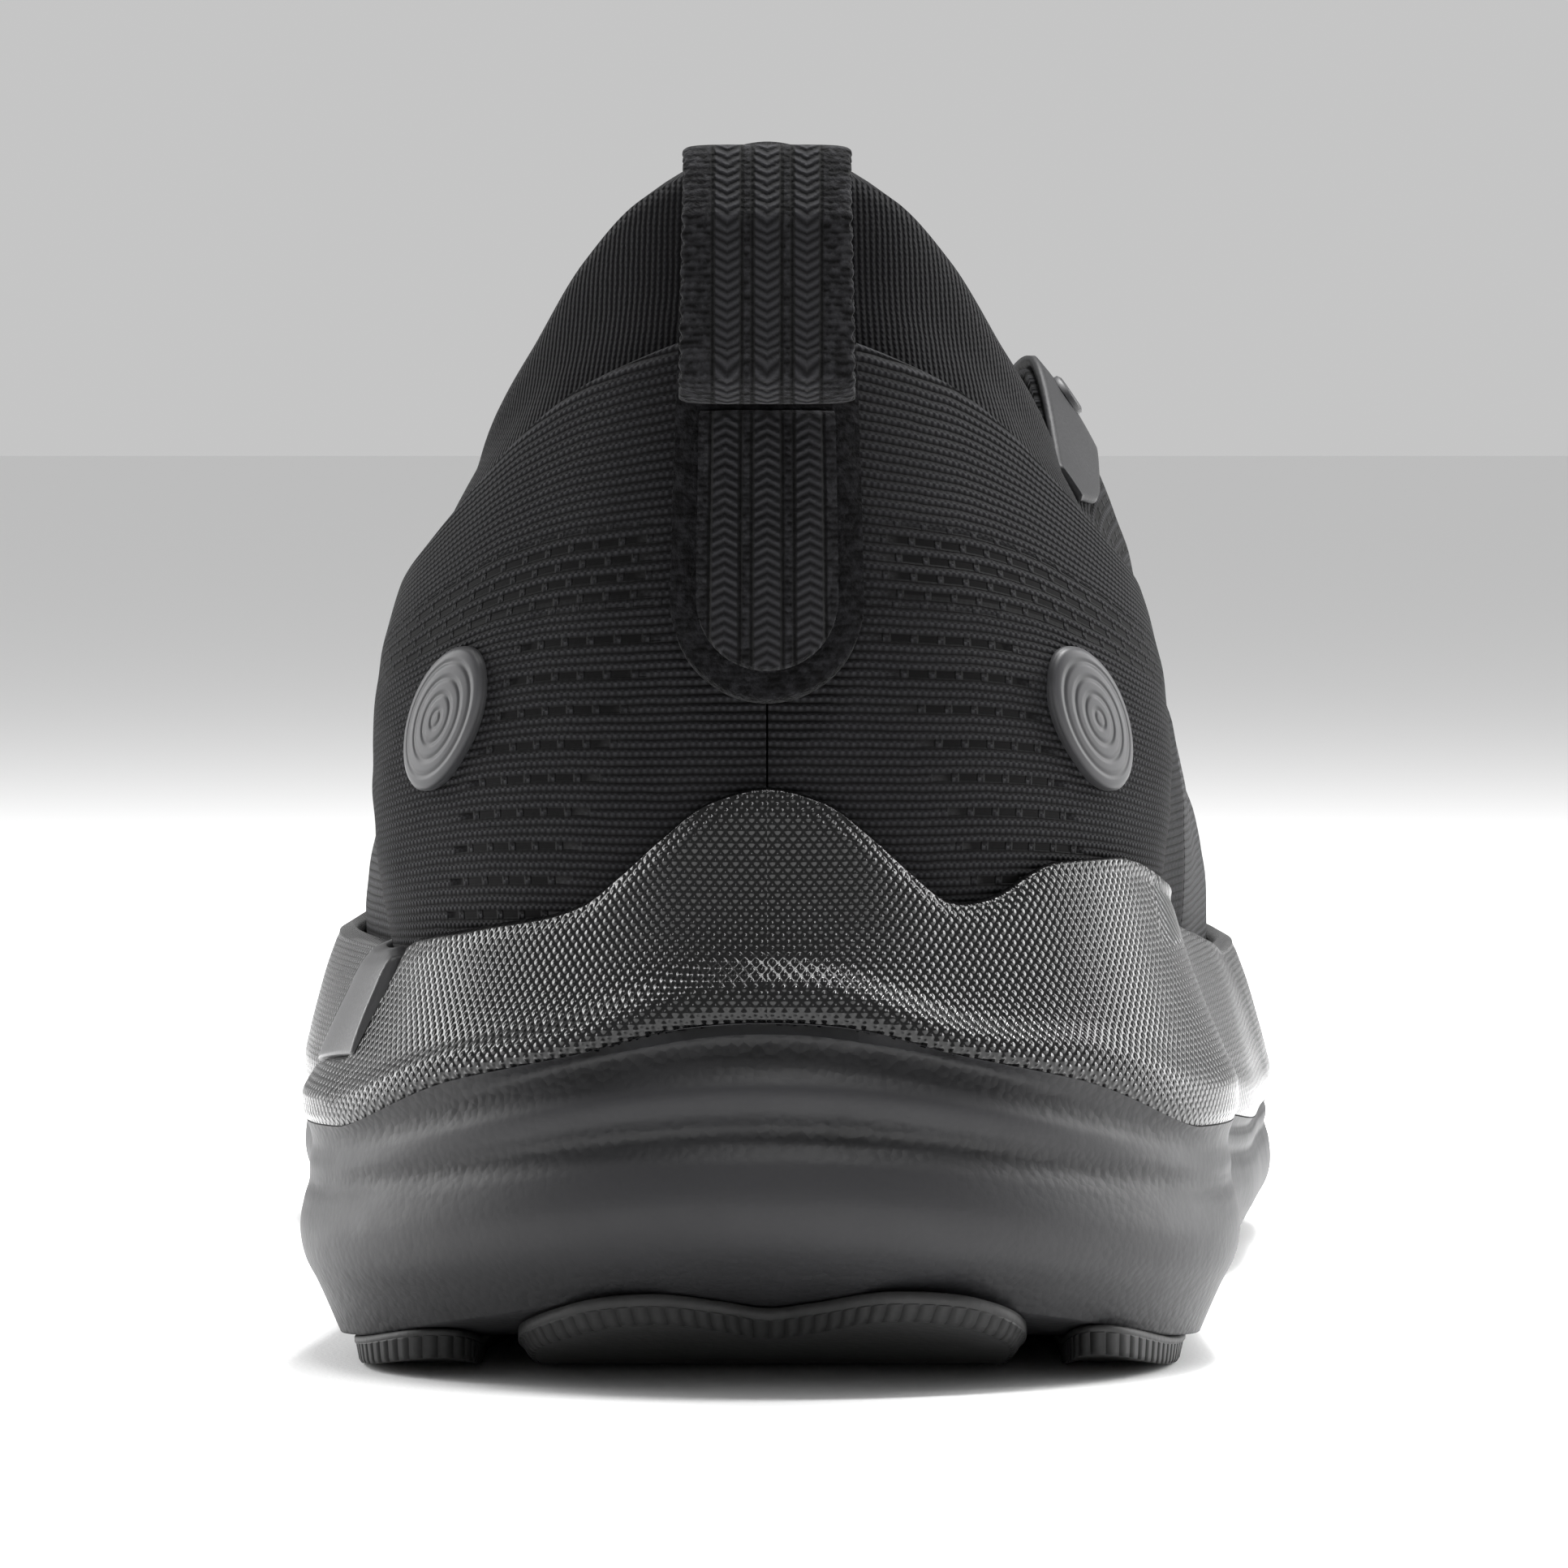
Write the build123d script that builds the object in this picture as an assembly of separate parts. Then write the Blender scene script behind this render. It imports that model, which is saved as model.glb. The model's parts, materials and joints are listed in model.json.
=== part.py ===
"""A right running shoe: sole unit, knit upper, padding, sockliner and heel pull loop.

The shoe stands on the ground with its toe toward +Y and its outer (lateral) side toward +X.
Every piece is placed through one description of the shoe: stations run round it from the
middle of the heel (0) along a side to the tip of the toe (4), and a station's section is
drawn outward from the shoe's own centre line. Sizes are millimetres.
"""
from build123d import *
import numpy as np
import os

# ---- overall sizes -------------------------------------------------------------------------
sole_length = 300.0          # heel to toe along the sole
heel_half_width = 49.0       # sole at the heel, from the centre line
ball_half_width = 57.0       # sole at the ball of the foot
toe_swing = 9.0              # how far the toe turns toward the inner side
heel_axis_y = 52.0           # centre that the heel is rounded about
toe_axis_y = 190.0           # centre that the toe is rounded about
collar_peak_z = 124.0        # top of the knit collar at the heel
throat_top_z = 104.0         # top of the throat at the last eyelet
collar_low_z = 87.0          # lowest point of the collar at the ankle

# ---- sole ----------------------------------------------------------------------------------
bed_inset = 1.4              # the raised bed's side inside the upper's outer face
rubber_thickness = 3.0
tread_trim = 0.06            # ground off the tread to leave it flat
foam_bottom_z = rubber_thickness
footbed_heel_z = 36.0
footbed_ball_z = 27.0
toe_spring = 16.0            # rise of the toe end of the sole
heel_bevel_rise = 11.0       # rise of the foam's underside at the back of the heel
crease_heel_z = 39.0         # joint of the two foams at the back of the heel
crease_side_z = 25.0         # and along the heel's sides
crease_fore_z = 16.5         # and along the forefoot
rim_peak_z = 61.5            # peak of the foam cup at the back of the heel
rim_saddle_z = 48.4          # rim on both sides of the peak
rim_join_y = 16.0            # where the peak's outline gives way to the rim along the sides
block_start = 0.72           # stations of the smooth insert in the inner wall
block_end = 2.1
block_step = 0.05            # length of the cup's step at each end of the insert, stations
block_low_z = 30.0

# ---- upper ---------------------------------------------------------------------------------
knit_thickness = 1.8
collar_knit_thickness = 1.8
counter_thickness = 1.4
lining_thickness = 1.0
lining_depth_low = 4.2       # lining's outer face below the knit's outer face, at the footbed
lining_depth_high = 9.4      # and up in the padded collar
board_thickness = 1.6
sockliner_thickness = 5.0
overlay_thickness = 1.0
wall_gap = 0.6              # between the cup's wall and what it holds
bond_gap = 0.15              # between pieces that are sewn or glued together
sewn_gap = 0.3               # between the curved layers of the upper
loose_gap = 1.2              # round the loose sockliner
seam_half_angle = 0.006      # half the heel seam, in stations
panel_split = 2.45           # station where the quarters meet the vamp
padding_low_z = 77.0
counter_low_z = 40.0
counter_high_z = 75.0
tongue_thickness = 2.2
tongue_padding_thickness = 3.0
tongue_gap = 1.5
tongue_tip_taper = 0.8       # loss of width for each station behind the throat's top
tongue_tip_y = 104.0
tongue_tip_rise = 15.4       # rise for each station behind the throat's top
eyelet_radius = 1.8
eyelet_count = 6

# ---- heel pull tab -------------------------------------------------------------------------
tab_width = 18.4
tab_low_z = 71.0
tab_high_z = 122.0
tab_thickness = 1.3
insert_width = 13.4
insert_low_z = 74.0
insert_high_z = 99.0
insert_thickness = 0.8
loop_width = 17.2
loop_low_z = 100.5
loop_top_z = 126.6
loop_strap = 1.5
loop_opening = 6.2

# ---- patches -------------------------------------------------------------------------------
patch_height = 13.5
patch_width = 10.5
patch_z = 68.0
patch_angle = 52.0           # round the heel from its middle, degrees
patch_thickness = 1.1


def smooth(x, lo, hi):
    """Smooth step from 0 at lo to 1 at hi."""
    k = np.clip((np.asarray(x, dtype=float) - lo) / (hi - lo), 0.0, 1.0)
    return k * k * (3.0 - 2.0 * k)


def curve(x, table):
    """Value at x of the smooth curve through a table of (position, value) pairs."""
    xs = np.array([row[0] for row in table], dtype=float)
    ys = np.array([row[1] for row in table], dtype=float)
    step = np.diff(xs)
    rise = np.diff(ys) / step
    slope = np.zeros(len(xs))
    same = rise[:-1] * rise[1:] > 0
    weight_a = 2.0 * step[1:] + step[:-1]
    weight_b = step[1:] + 2.0 * step[:-1]
    blend = (weight_a + weight_b) / (weight_a / np.where(same, rise[:-1], 1.0)
                                     + weight_b / np.where(same, rise[1:], 1.0))
    slope[1:-1] = np.where(same, blend, 0.0)
    x = np.clip(np.asarray(x, dtype=float), xs[0], xs[-1])
    i = np.clip(np.searchsorted(xs, x, side="right") - 1, 0, len(step) - 1)
    k = (x - xs[i]) / step[i]
    return ((2 * k**3 - 3 * k**2 + 1) * ys[i] + (k**3 - 2 * k**2 + k) * step[i] * slope[i]
            + (3 * k**2 - 2 * k**3) * ys[i + 1] + (k**3 - k**2) * step[i] * slope[i + 1])


# ---- stations ------------------------------------------------------------------------------
def station(g):
    """Station 0 to 4 and side (+1 lateral, -1 medial) of a signed station that may run past the toe."""
    g = np.asarray(g, dtype=float)
    side = np.where((g < 0) | (g > 4), -1.0, 1.0)
    return np.where(g > 4, 8.0 - g, np.abs(g)), side


def centre(s):
    """Centre of the section at station s: x and y."""
    along = np.clip(s, 1.0, 3.0) - 1.0
    y = heel_axis_y + (toe_axis_y - heel_axis_y) * along / 2.0
    return along, y


def place(g, reach, z):
    """Points that lie a reach outward from the centre line at signed stations g and heights z."""
    s, side = station(g)
    x0, y0 = centre(s)
    angle = np.where(s < 1, (s - 1) * np.pi / 2, np.where(s > 3, (s - 3) * np.pi / 2, 0.0))
    x = x0 + side * np.cos(angle) * reach
    y = y0 + np.sin(angle) * reach
    x = x - toe_swing * (np.clip(y - 165.0, 0.0, None) / 130.0) ** 2
    return np.stack(np.broadcast_arrays(x, y, z), axis=-1)


sole_front = sole_length - toe_axis_y


def sole_reach(g):
    """Outline of the sole at its fullest level."""
    s, side = station(g)
    lateral = curve(s, [(0, heel_axis_y), (0.5, 50.2), (1, heel_half_width + 0.6), (1.5,
            heel_half_width - 0.6),
                        (2, heel_half_width), (2.5, ball_half_width - 3), (3, ball_half_width),
                        (3.5, 0.61 * ball_half_width + 0.36 * sole_front), (4, sole_front)])
    medial = curve(s, [(0, heel_axis_y), (0.5, 50.2), (1, heel_half_width), (1.5, heel_half_width - 3),
                       (2, heel_half_width - 5), (2.5, ball_half_width - 9), (3, ball_half_width - 5),
                       (3.5, 0.61 * ball_half_width + 0.36 * sole_front), (4, sole_front)])
    return np.where(side > 0, lateral, medial)


def upper_reach(g):
    """Fullest reach of the knit upper's outer face."""
    return sole_reach(g) - curve(station(g)[0], [(0, 8.4), (0.5, 8.8), (1, 8.6), (2, 7.2), (3, 6.4),
                                                 (4, 8.4)])


def footbed_z(y):
    """Top of the foam under the foot."""
    return curve(y, [(-20, footbed_heel_z), (60, footbed_heel_z), (120,
                                                                   0.6 * footbed_heel_z + 0.4 * footbed_ball_z),
                     (200, footbed_ball_z), (235, footbed_ball_z + 0.8), (270,
                             footbed_ball_z + 0.35 * toe_spring),
                     (320, footbed_ball_z + 0.9 * toe_spring)])


def edge_z(s):
    """Height of the collar and throat edge."""
    return curve(s, [(0, collar_peak_z), (0.25, collar_peak_z - 4.5), (0.42, collar_peak_z - 11), (0.6,
            105.5),
                     (0.8, 99.5), (1, 94.5), (1.25, 89.5), (1.5, collar_low_z), (1.75, collar_low_z + 6),
                     (2, throat_top_z), (2.25, throat_top_z - 4.5), (2.5, throat_top_z - 12), (3, 79.0),
                     (3.5, 76.5), (4, 75.5)])


def edge_share(s):
    """Reach of the collar and throat edge as a share of the full reach."""
    return curve(s, [(0, 0.80), (0.5, 0.765), (1, 0.74), (1.5, 0.78), (1.75, 0.74), (2, 0.66), (2.5, 0.42),
                     (3, 0.28), (3.5, 0.19), (4, 0.14)])


def section(g, t):
    """Outer face of the upper at signed station g and share t of the way from the sole to the edge.

    Each section is one cubic curve in reach and height that starts tucked in at the footbed,
    bulges to the full reach and leans in to the edge.
    """
    s, _ = station(g)
    full = upper_reach(g)
    start = place(g, full * 0.93, 0.0)
    z0 = footbed_z(start[..., 1]) + sewn_gap
    z3 = edge_z(s)
    r0 = curve(s, [(0, 0.955), (1, 0.925), (2, 0.93), (3, 0.95), (4, 0.96)])
    r1 = curve(s, [(0, 1.045), (1, 1.125), (2, 1.08), (3, 1.06), (4, 1.04)])
    r2 = curve(s, [(0, 1.03), (0.5, 1.02), (1, 1.02), (1.5, 0.98), (2, 1.0), (2.5, 0.88), (3, 0.80),
                   (3.5, 0.78), (4, 0.80)])
    r3 = edge_share(s)
    k1 = curve(s, [(0, 0.32), (1, 0.48), (2, 0.38), (3, 0.50), (4, 0.36)])
    k2 = curve(s, [(0, 0.58), (1, 0.76), (2, 0.78), (3, 0.98), (3.5, 0.80), (4, 0.56)])
    a = (1 - t) ** 3
    b = 3 * t * (1 - t) ** 2
    c = 3 * t**2 * (1 - t)
    d = t**3
    share = a * r0 + b * r1 + c * r2 + d * r3
    z = z0 + (z3 - z0) * (b * k1 + c * k2 + d)
    return place(g, full * share, z)


def layer(g, t, depth):
    """Face that lies a depth inside the upper's outer face, measured square to it."""
    h = 1e-3
    along = section(g + h, t) - section(g - h, t)
    up = section(g, t + h) - section(g, t - h)
    normal = np.cross(along, up)
    s, side = station(g)
    normal = normal / np.linalg.norm(normal, axis=-1, keepdims=True)
    return section(g, t) - normal * np.asarray(depth)[..., None]


def share_at(g, z):
    """Share of the way up the section where it reaches height z."""
    low = np.zeros(np.broadcast(g, z).shape)
    high = np.ones_like(low) * 1.15
    for _ in range(40):
        mid = (low + high) / 2
        below = section(g, mid)[..., 2] < z
        low = np.where(below, mid, low)
        high = np.where(below, high, mid)
    return (low + high) / 2


# ---- solids from grids ----------------------------------------------------------------------
def panel(outer, inner, closed=False):
    """Closed solid between two grids of points, built strip by strip from column to column.

    Each column of a grid becomes a smooth curve, and neighbouring curves are joined by
    straight lines. A closed panel runs on from its last column to its first.
    """
    curves = [[Edge.make_spline([Vector(*p) for p in column]) for column in grid] for grid in (outer,
            inner)]
    count = len(outer)
    faces = []
    for i in range(count if closed else count - 1):
        j = (i + 1) % count
        rims = []
        for grid, edges in zip((outer, inner), curves):
            faces.append(Face.make_surface_from_curves(edges[i], edges[j]))
            rims.append([Edge.make_line(Vector(*grid[i][k]), Vector(*grid[j][k])) for k in (0, -1)])
        for k in (0, 1):
            faces.append(Face.make_surface_from_curves(rims[0][k], rims[1][k]))
    if not closed:
        for i in (0, -1):
            faces.append(Face.make_surface_from_curves(curves[0][i], curves[1][i]))
    solid = Solid(Shell(faces))
    return solid if solid.volume > 0 else Solid(Shell([-f for f in faces]))


def skin(g_lo, g_hi, low, high, depth_out, depth_in, columns=33, rows=13):
    """Panel of the upper between two stations and two height functions of the station.

    low and high give the share of the section; the depths may be numbers or functions of
    the station and the share.
    """
    g = np.linspace(g_lo, g_hi, columns)
    k = np.linspace(0.0, 1.0, rows)
    g, k = np.meshgrid(g, k, indexing="ij")
    lo = low(g)
    t = lo + (high(g) - lo) * k
    out = depth_out(g, t) if callable(depth_out) else depth_out + 0 * t
    inn = depth_in(g, t) if callable(depth_in) else depth_in + 0 * t
    return panel(layer(g, t, out), layer(g, t, inn))


def ring_wire(reach, z):
    """Closed smooth wire round the shoe at reaches and heights given as functions of the station."""
    g = np.concatenate([np.linspace(0, 4, 15)[:-1], np.linspace(4, 8, 15)[:-1]])
    points = place(g, reach(g), z(g))
    return Wire([Edge.make_spline([Vector(*p) for p in points], periodic=True)])


def side_prism(points, x0=-90.0, x1=90.0):
    """Prism across the shoe from a side view outline of (y, z) points."""
    outline = Wire.make_polygon([Vector(x0, y, z) for y, z in points], close=True)
    return Solid.extrude(Face(outline), Vector(x1 - x0, 0, 0))


def smooth_prism(line, corners, along):
    """Prism over a smooth line of points that is closed through the corners given."""
    spline = Edge.make_spline([Vector(*p) for p in line])
    path = [line[-1]] + corners + [line[0]]
    straight = [Edge.make_line(Vector(*a), Vector(*b)) for a, b in zip(path[:-1], path[1:])]
    return Solid.extrude(Face(Wire([spline] + straight)), Vector(*along))


def plan_prism(points, z0=-10.0, z1=60.0):
    """Prism up from a smooth plan outline of (x, y) points."""
    outline = Wire([Edge.make_spline([Vector(x, y, z0) for x, y in points], periodic=True)])
    return Solid.extrude(Face(outline), Vector(0, 0, z1 - z0))


def rear_prism(points, y0, y1):
    """Prism along the shoe from a rear view outline of (x, z) points."""
    outline = Wire.make_polygon([Vector(x, y0, z) for x, z in points], close=True)
    solid = Solid.extrude(Face(outline), Vector(0, y1 - y0, 0))
    return solid


def one(shape):
    """The largest solid of a result."""
    return max(shape.solids(), key=lambda s: s.volume)


# ---- sole ------------------------------------------------------------------------------------
LEVELS = [
    # heights at heel, side, forefoot; offsets from the outline at heel, side, forefoot
    (-3.0, -3.0, -3.0, -16.0, -10.0, -7.0),
    (12.5, 8.0, 5.5, -4.5, -2.0, -1.2),
    (19.5, 14.0, 9.0, 0.0, 0.0, 0.0),
    (27.2, 19.2, 13.0, -2.6, -1.0, -0.8),
    (31.0, 21.5, 14.5, -1.3, -1.3, -0.6),
    (36.0, 24.0, 16.0, -3.0, -1.2, -0.9),
    (39.5, 27.5, 19.0, -1.3, -0.2, 0.0),
    (52.0, 41.0, 31.0, -3.8, -4.6, -2.0),
    (74.0, 74.0, 74.0, -8.0, -9.4, -8.0),
]


def rise(y):
    """Lift of the sole toward the toe."""
    return toe_spring * (np.clip(y - 205.0, 0, None) / 95.0) ** 2


def level_value(g, at_heel, at_side, at_fore):
    """Blend of three values from the heel's middle, over the heel's side, to the forefoot."""
    s, _ = station(g)
    side = smooth(s, 0.0, 0.85)
    fore = smooth(s, 1.2, 2.7)
    return (at_heel + (at_side - at_heel) * side) * (1 - fore) + at_fore * fore


def sole_body():
    """The whole foam block before it is parted."""
    wires = []
    for i, (zh, zs, zf, oh, os_, of) in enumerate(LEVELS):
        flat = i in (0, len(LEVELS) - 1)

        def reach(g, oh=oh, os_=os_, of=of):
            return sole_reach(g) + level_value(g, oh, os_, of)

        def height(g, zh=zh, zs=zs, zf=zf, flat=flat, reach=reach):
            z = level_value(g, zh, zs, zf)
            return z if flat else z + rise(place(g, reach(g), 0.0)[..., 1])

        wires.append(ring_wire(reach, height))
    return Solid.make_loft(wires, ruled=True)


def crease_z(y):
    """Joint line between the lower foam and the cup, in side view."""
    return curve(y, [(-12, crease_heel_z + 1), (0, crease_heel_z), (6, crease_heel_z - 4.2), (15,
            crease_side_z + 6.5),
                     (32, crease_side_z + 0.6), (60, crease_side_z), (120,
                                                                      0.5 * (crease_side_z + crease_fore_z)),
                     (170, crease_fore_z), (205, crease_fore_z), (250, crease_fore_z + 0.25 * toe_spring),
                     (320, crease_fore_z + 1.35 * toe_spring)])


def underside_z(y):
    """Underside of the foam, in side view."""
    return curve(y, [(-12, foam_bottom_z + heel_bevel_rise), (2, foam_bottom_z + 0.85 * heel_bevel_rise),
                     (18, foam_bottom_z + 0.38 * heel_bevel_rise), (36,
                                                                    foam_bottom_z + 0.06 * heel_bevel_rise),
                     (50, foam_bottom_z), (205, foam_bottom_z), (235, foam_bottom_z + 0.12 * toe_spring),
                     (268, foam_bottom_z + 0.46 * toe_spring), (320, foam_bottom_z + 1.25 * toe_spring)])


def rim_side_z(y, side):
    """Rim of the cup along a side."""
    if side > 0:
        table = [(15, rim_saddle_z), (24, rim_saddle_z - 0.4), (40, rim_saddle_z + 4.6), (56,
                rim_saddle_z + 6.2),
                 (78, rim_saddle_z + 2.4), (110, 44.5), (150, 41.0), (190, 38.5), (230, 39.5), (265,
                         44.0), (320, 52.0)]
    else:
        table = [(15, rim_saddle_z), (24, rim_saddle_z - 0.6), (45, rim_saddle_z - 2.0), (70,
                rim_saddle_z - 0.6),
                 (95, rim_saddle_z + 2.0), (125, 46.0), (155, 41.0), (190, 38.5), (230, 39.5), (265,
                         44.0), (320, 52.0)]
    return curve(y, table)


def rim_rear_z(x):
    """Rim of the cup across the back of the heel, peaked in the middle."""
    drop = rim_peak_z - rim_saddle_z
    table = [(0, 0), (5.7, 0.11 * drop), (11, 0.41 * drop), (15, 0.69 * drop), (19, 0.92 * drop), (25,
            drop), (60, drop)]
    return rim_peak_z - curve(np.abs(x), table)


def rim_z(g, gap=0.0):
    """Top of the cup's wall at signed stations."""
    p = place(g, sole_reach(g) - 7.0, 0.0)
    _, side = station(g)
    sides = np.where(side > 0, rim_side_z(p[..., 1], 1), rim_side_z(p[..., 1], -1))
    return np.where(p[..., 1] < rim_join_y, rim_rear_z(p[..., 0]), sides) + gap


def below(line, y0=-30.0, y1=330.0, depth=-40.0, steps=61):
    """Prism under a side view line."""
    points = [(-90.0, y, float(line(y))) for y in np.linspace(y0, y1, steps)]
    return smooth_prism(points, [(-90.0, y1, depth), (-90.0, y0, depth)], (180.0, 0, 0))


def between(low, high, y0=-30.0, y1=330.0, steps=61):
    """Prism between two side view lines."""
    ys = np.linspace(y0, y1, steps)
    top = Edge.make_spline([Vector(-90.0, y, float(high(y))) for y in ys])
    bottom = Edge.make_spline([Vector(-90.0, y, float(low(y))) for y in ys])
    ends = [Edge.make_line(top.position_at(k), bottom.position_at(k)) for k in (0, 1)]
    return Solid.extrude(Face(Wire([top, bottom] + ends)), Vector(180.0, 0, 0))


def sole_profile(g, z):
    """Reach of the sole's side at signed stations g and heights z."""
    heights = []
    reaches = []
    for zh, zs, zf, oh, os_, of in LEVELS:
        out = sole_reach(g) + level_value(g, oh, os_, of)
        lift = rise(place(g, out, 0.0)[..., 1])
        heights.append(level_value(g, zh, zs, zf) + lift)
        reaches.append(out)
    heights = np.array(heights)
    reaches = np.array(reaches)
    result = reaches[0]
    for i in range(len(LEVELS) - 1):
        k = smooth((z - heights[i]) / (heights[i + 1] - heights[i]), -0.15, 1.15)
        result = np.where(z > heights[i], reaches[i] + (reaches[i + 1] - reaches[i]) * k, result)
    return result


def room_reach(g, z):
    """Reach of the upper's outer face at heights z, held below the footbed, plus the bond gap."""
    start = section(g, 0.0 * g)[..., 2]
    t = share_at(g, np.maximum(z, start + 0.01))
    s, _ = station(g)
    x0, y0 = centre(s)
    p = section(g, t)
    swing = toe_swing * (np.clip(p[..., 1] - 165.0, 0.0, None) / 130.0) ** 2
    return np.hypot(p[..., 0] + swing - x0, p[..., 1] - y0) + wall_gap


def wall(stations, low, high, closed=False):
    """Part of the cup's wall at some stations, between two heights given as functions of the station."""
    g, k = np.meshgrid(stations, np.linspace(0.0, 1.0, 9), indexing="ij")
    z = low(g) + (high(g) - low(g)) * k
    outer = np.maximum(sole_profile(g, z), room_reach(g, z) + 1.2)
    return panel(place(g, outer, z), place(g, room_reach(g, z), z), closed)


def crease_at(g):
    """Height of the cup's foot at signed stations: over the foam joint right across the wall."""
    across = [crease_z(place(g, sole_reach(g) + step, 0.0)[..., 1]) for step in (0.5, -3.0, -8.0)]
    return np.max(across, axis=0) + 2 * bond_gap


def block_low(g):
    """Lower edge of the smooth insert in the inner wall, at stations inside its length."""
    s, _ = station(g)
    along = (s - block_start) / (block_end - block_start)
    return block_low_z + 3.0 * smooth(along, 0.35, -0.05) + 4.0 * smooth(along, 0.7, 1.05)


def cup_top(g):
    """Top of the cup: the rim, but the insert's lower edge where the insert sits."""
    s, side = station(g)
    inside = (smooth(s, block_start - block_step, block_start - 0.01)
              * smooth(s, block_end + block_step, block_end + 0.01))
    return rim_z(g) + (block_low(g) - wall_gap - rim_z(g)) * np.where(side < 0, inside, 0.0)


def pods():
    """Outsole rubber: plan outlines of the separate pods, (x, y) points."""
    heel_wave = [(-25.5, 22), (-20, 11), (-12, 7.5), (-5, 10), (0, 12.5), (5, 10.5), (13, 6.5), (22,
            9.5), (26.5, 20)]
    return {
        "outsole_heel_center": heel_wave + [(24, 48), (18, 84), (0, 96), (-16, 84), (-23, 50)],
        "outsole_heel_medial": [(-43, 40), (-37.5, 26), (-30.5, 27), (-29, 50), (-27, 86), (-36, 100),
                                (-41, 74)],
        "outsole_heel_lateral": [(43.5, 44), (38, 25), (31.5, 24), (30, 50), (28, 90), (36, 112), (43, 80)],
        "outsole_forefoot_medial": [(-45, 196), (-39, 160), (-24, 146), (-13, 160), (-12, 210), (-22,
                246), (-38, 238)],
        "outsole_forefoot_lateral": [(55, 190), (46, 146), (26, 134), (14, 150), (14, 210), (24, 244),
                                     (44, 238), (53, 215)],
        "outsole_toe": [(-38, 256), (-20, 252), (0, 258), (18, 252), (36, 252), (30, 274), (10, 291),
                        (-9, 294), (-28, 284)],
    }


def build_sole():
    """Lower foam, cup, insert and outsole pods."""
    lower = sole_body().cut(below(underside_z)).intersect(below(crease_z))
    bed_ring = ring_wire(lambda g: room_reach(g, 0 * g) - wall_gap - bed_inset, lambda g: 0 * g)
    bed = Solid.extrude(Face(bed_ring), Vector(0, 0, 80))
    lower = one(one(lower).fuse(one(bed.intersect(between(lambda y: crease_z(y) - 5.5, footbed_z)))))
    ends = 8.0 - np.array([block_end + block_step, block_end + 0.01, block_start - 0.01,
                           block_start - block_step])
    stations = np.unique(np.concatenate([np.linspace(0.0, 8.0, 97)[:-1], ends]))
    cup = wall(stations, crease_at, cup_top, closed=True)
    block = wall(np.linspace(8.0 - block_end, 8.0 - block_start, 25), block_low, rim_z)
    parts = {"midsole_lower": lower, "midsole_cradle": cup, "medial_side_block": block}
    band = between(lambda y: underside_z(y) - rubber_thickness - tread_trim,
                   lambda y: underside_z(y) - bond_gap)
    ground = side_prism([(-50.0, -20.0), (400.0, -20.0), (400.0, 0.0), (-50.0, 0.0)])
    for name, outline in pods().items():
        parts[name] = one(one(plan_prism(outline).intersect(band)).cut(ground))
    return parts


# ---- inside ------------------------------------------------------------------------------------
def foot_outline(inset):
    """Plan outline inside the upper's foot, as (x, y) points."""
    g = np.concatenate([np.linspace(0, 4, 25)[:-1], np.linspace(4, 8, 25)[:-1]])
    p = layer(g, np.zeros_like(g) + 0.02, inset)
    return [(float(x), float(y)) for x, y in p[:, :2]]


def slab(inset, low, high):
    """Sheet on the footbed between two heights over it."""
    raised = between(lambda y: footbed_z(y) + low, lambda y: footbed_z(y) + high)
    return one(plan_prism(foot_outline(inset), 0.0, 80.0).intersect(raised))


def lining_depth(g, t):
    """Depth of the lining's outer face: thin at the foot and deep in the padded collar."""
    z = section(g, t)[..., 2]
    return lining_depth_low + (lining_depth_high - lining_depth_low) * smooth(z, counter_high_z - 18,
            padding_low_z + 2)


def to_height(z):
    """Share function that keeps a height."""
    return lambda g: share_at(g, np.full_like(g, z))


def share_const(t):
    """Share function that keeps a share."""
    return lambda g: np.full_like(g, t)


def build_inside():
    """Board, sockliner, counter, lining and padding."""
    board_low = bond_gap
    board_high = board_low + board_thickness
    liner_low = board_high + bond_gap
    parts = {
        "strobel_board": slab(knit_thickness + sewn_gap + 0.3, board_low, board_high),
        "sockliner": slab(lining_depth_low + lining_thickness + loose_gap, liner_low,
                          liner_low + sockliner_thickness),
    }
    counter_depth = knit_thickness + 0.35 + 2 * sewn_gap
    parts["heel_counter"] = skin(-1.25, 1.25, to_height(counter_low_z), to_height(counter_high_z),
                                 counter_depth, counter_depth + counter_thickness, 33, 9)
    parts["heel_lining"] = skin(-1.7, 1.7, to_height(footbed_heel_z + board_high + 2 * sewn_gap),
                                share_const(0.985), lining_depth,
                                lambda g, t: lining_depth(g, t) + lining_thickness, 41, 17)
    pad_out = knit_thickness + collar_knit_thickness + 2 * sewn_gap
    for name, g0, g1 in (("collar_padding_lateral", 0.04, 1.65), ("collar_padding_medial", -1.65, -0.04)):
        parts[name] = skin(g0, g1, to_height(padding_low_z), share_const(0.965), pad_out,
                           lambda g, t: lining_depth(g, t) - sewn_gap, 25, 9)
    return parts


# ---- upper -------------------------------------------------------------------------------------
def quarter_top(g):
    """Upper edge of the ribbed quarters as a share of the section."""
    s, _ = station(g)
    z = curve(s, [(0, 107.7), (0.3, 105.0), (0.57, 97.0), (0.78, 88.5), (1, 81.5), (1.3, 77.5), (1.6,
            80.0), (2.0, 98.0)])
    t = share_at(g, z)
    return t + (0.985 - t) * smooth(s, 1.55, 1.85)


def guard_low(g):
    """Lower edge of the toe guard, just over the cup's rim, as a share of the section."""
    return share_at(g, rim_z(g) + loose_gap)


def eyestay_low(g):
    """Lower edge of the eyestays as a share of the section."""
    s, _ = station(g)
    return curve(s, [(1.7, 0.93), (1.85, 0.83), (2.4, 0.80), (2.9, 0.80), (3.4, 0.84), (4, 0.88)])


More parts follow.
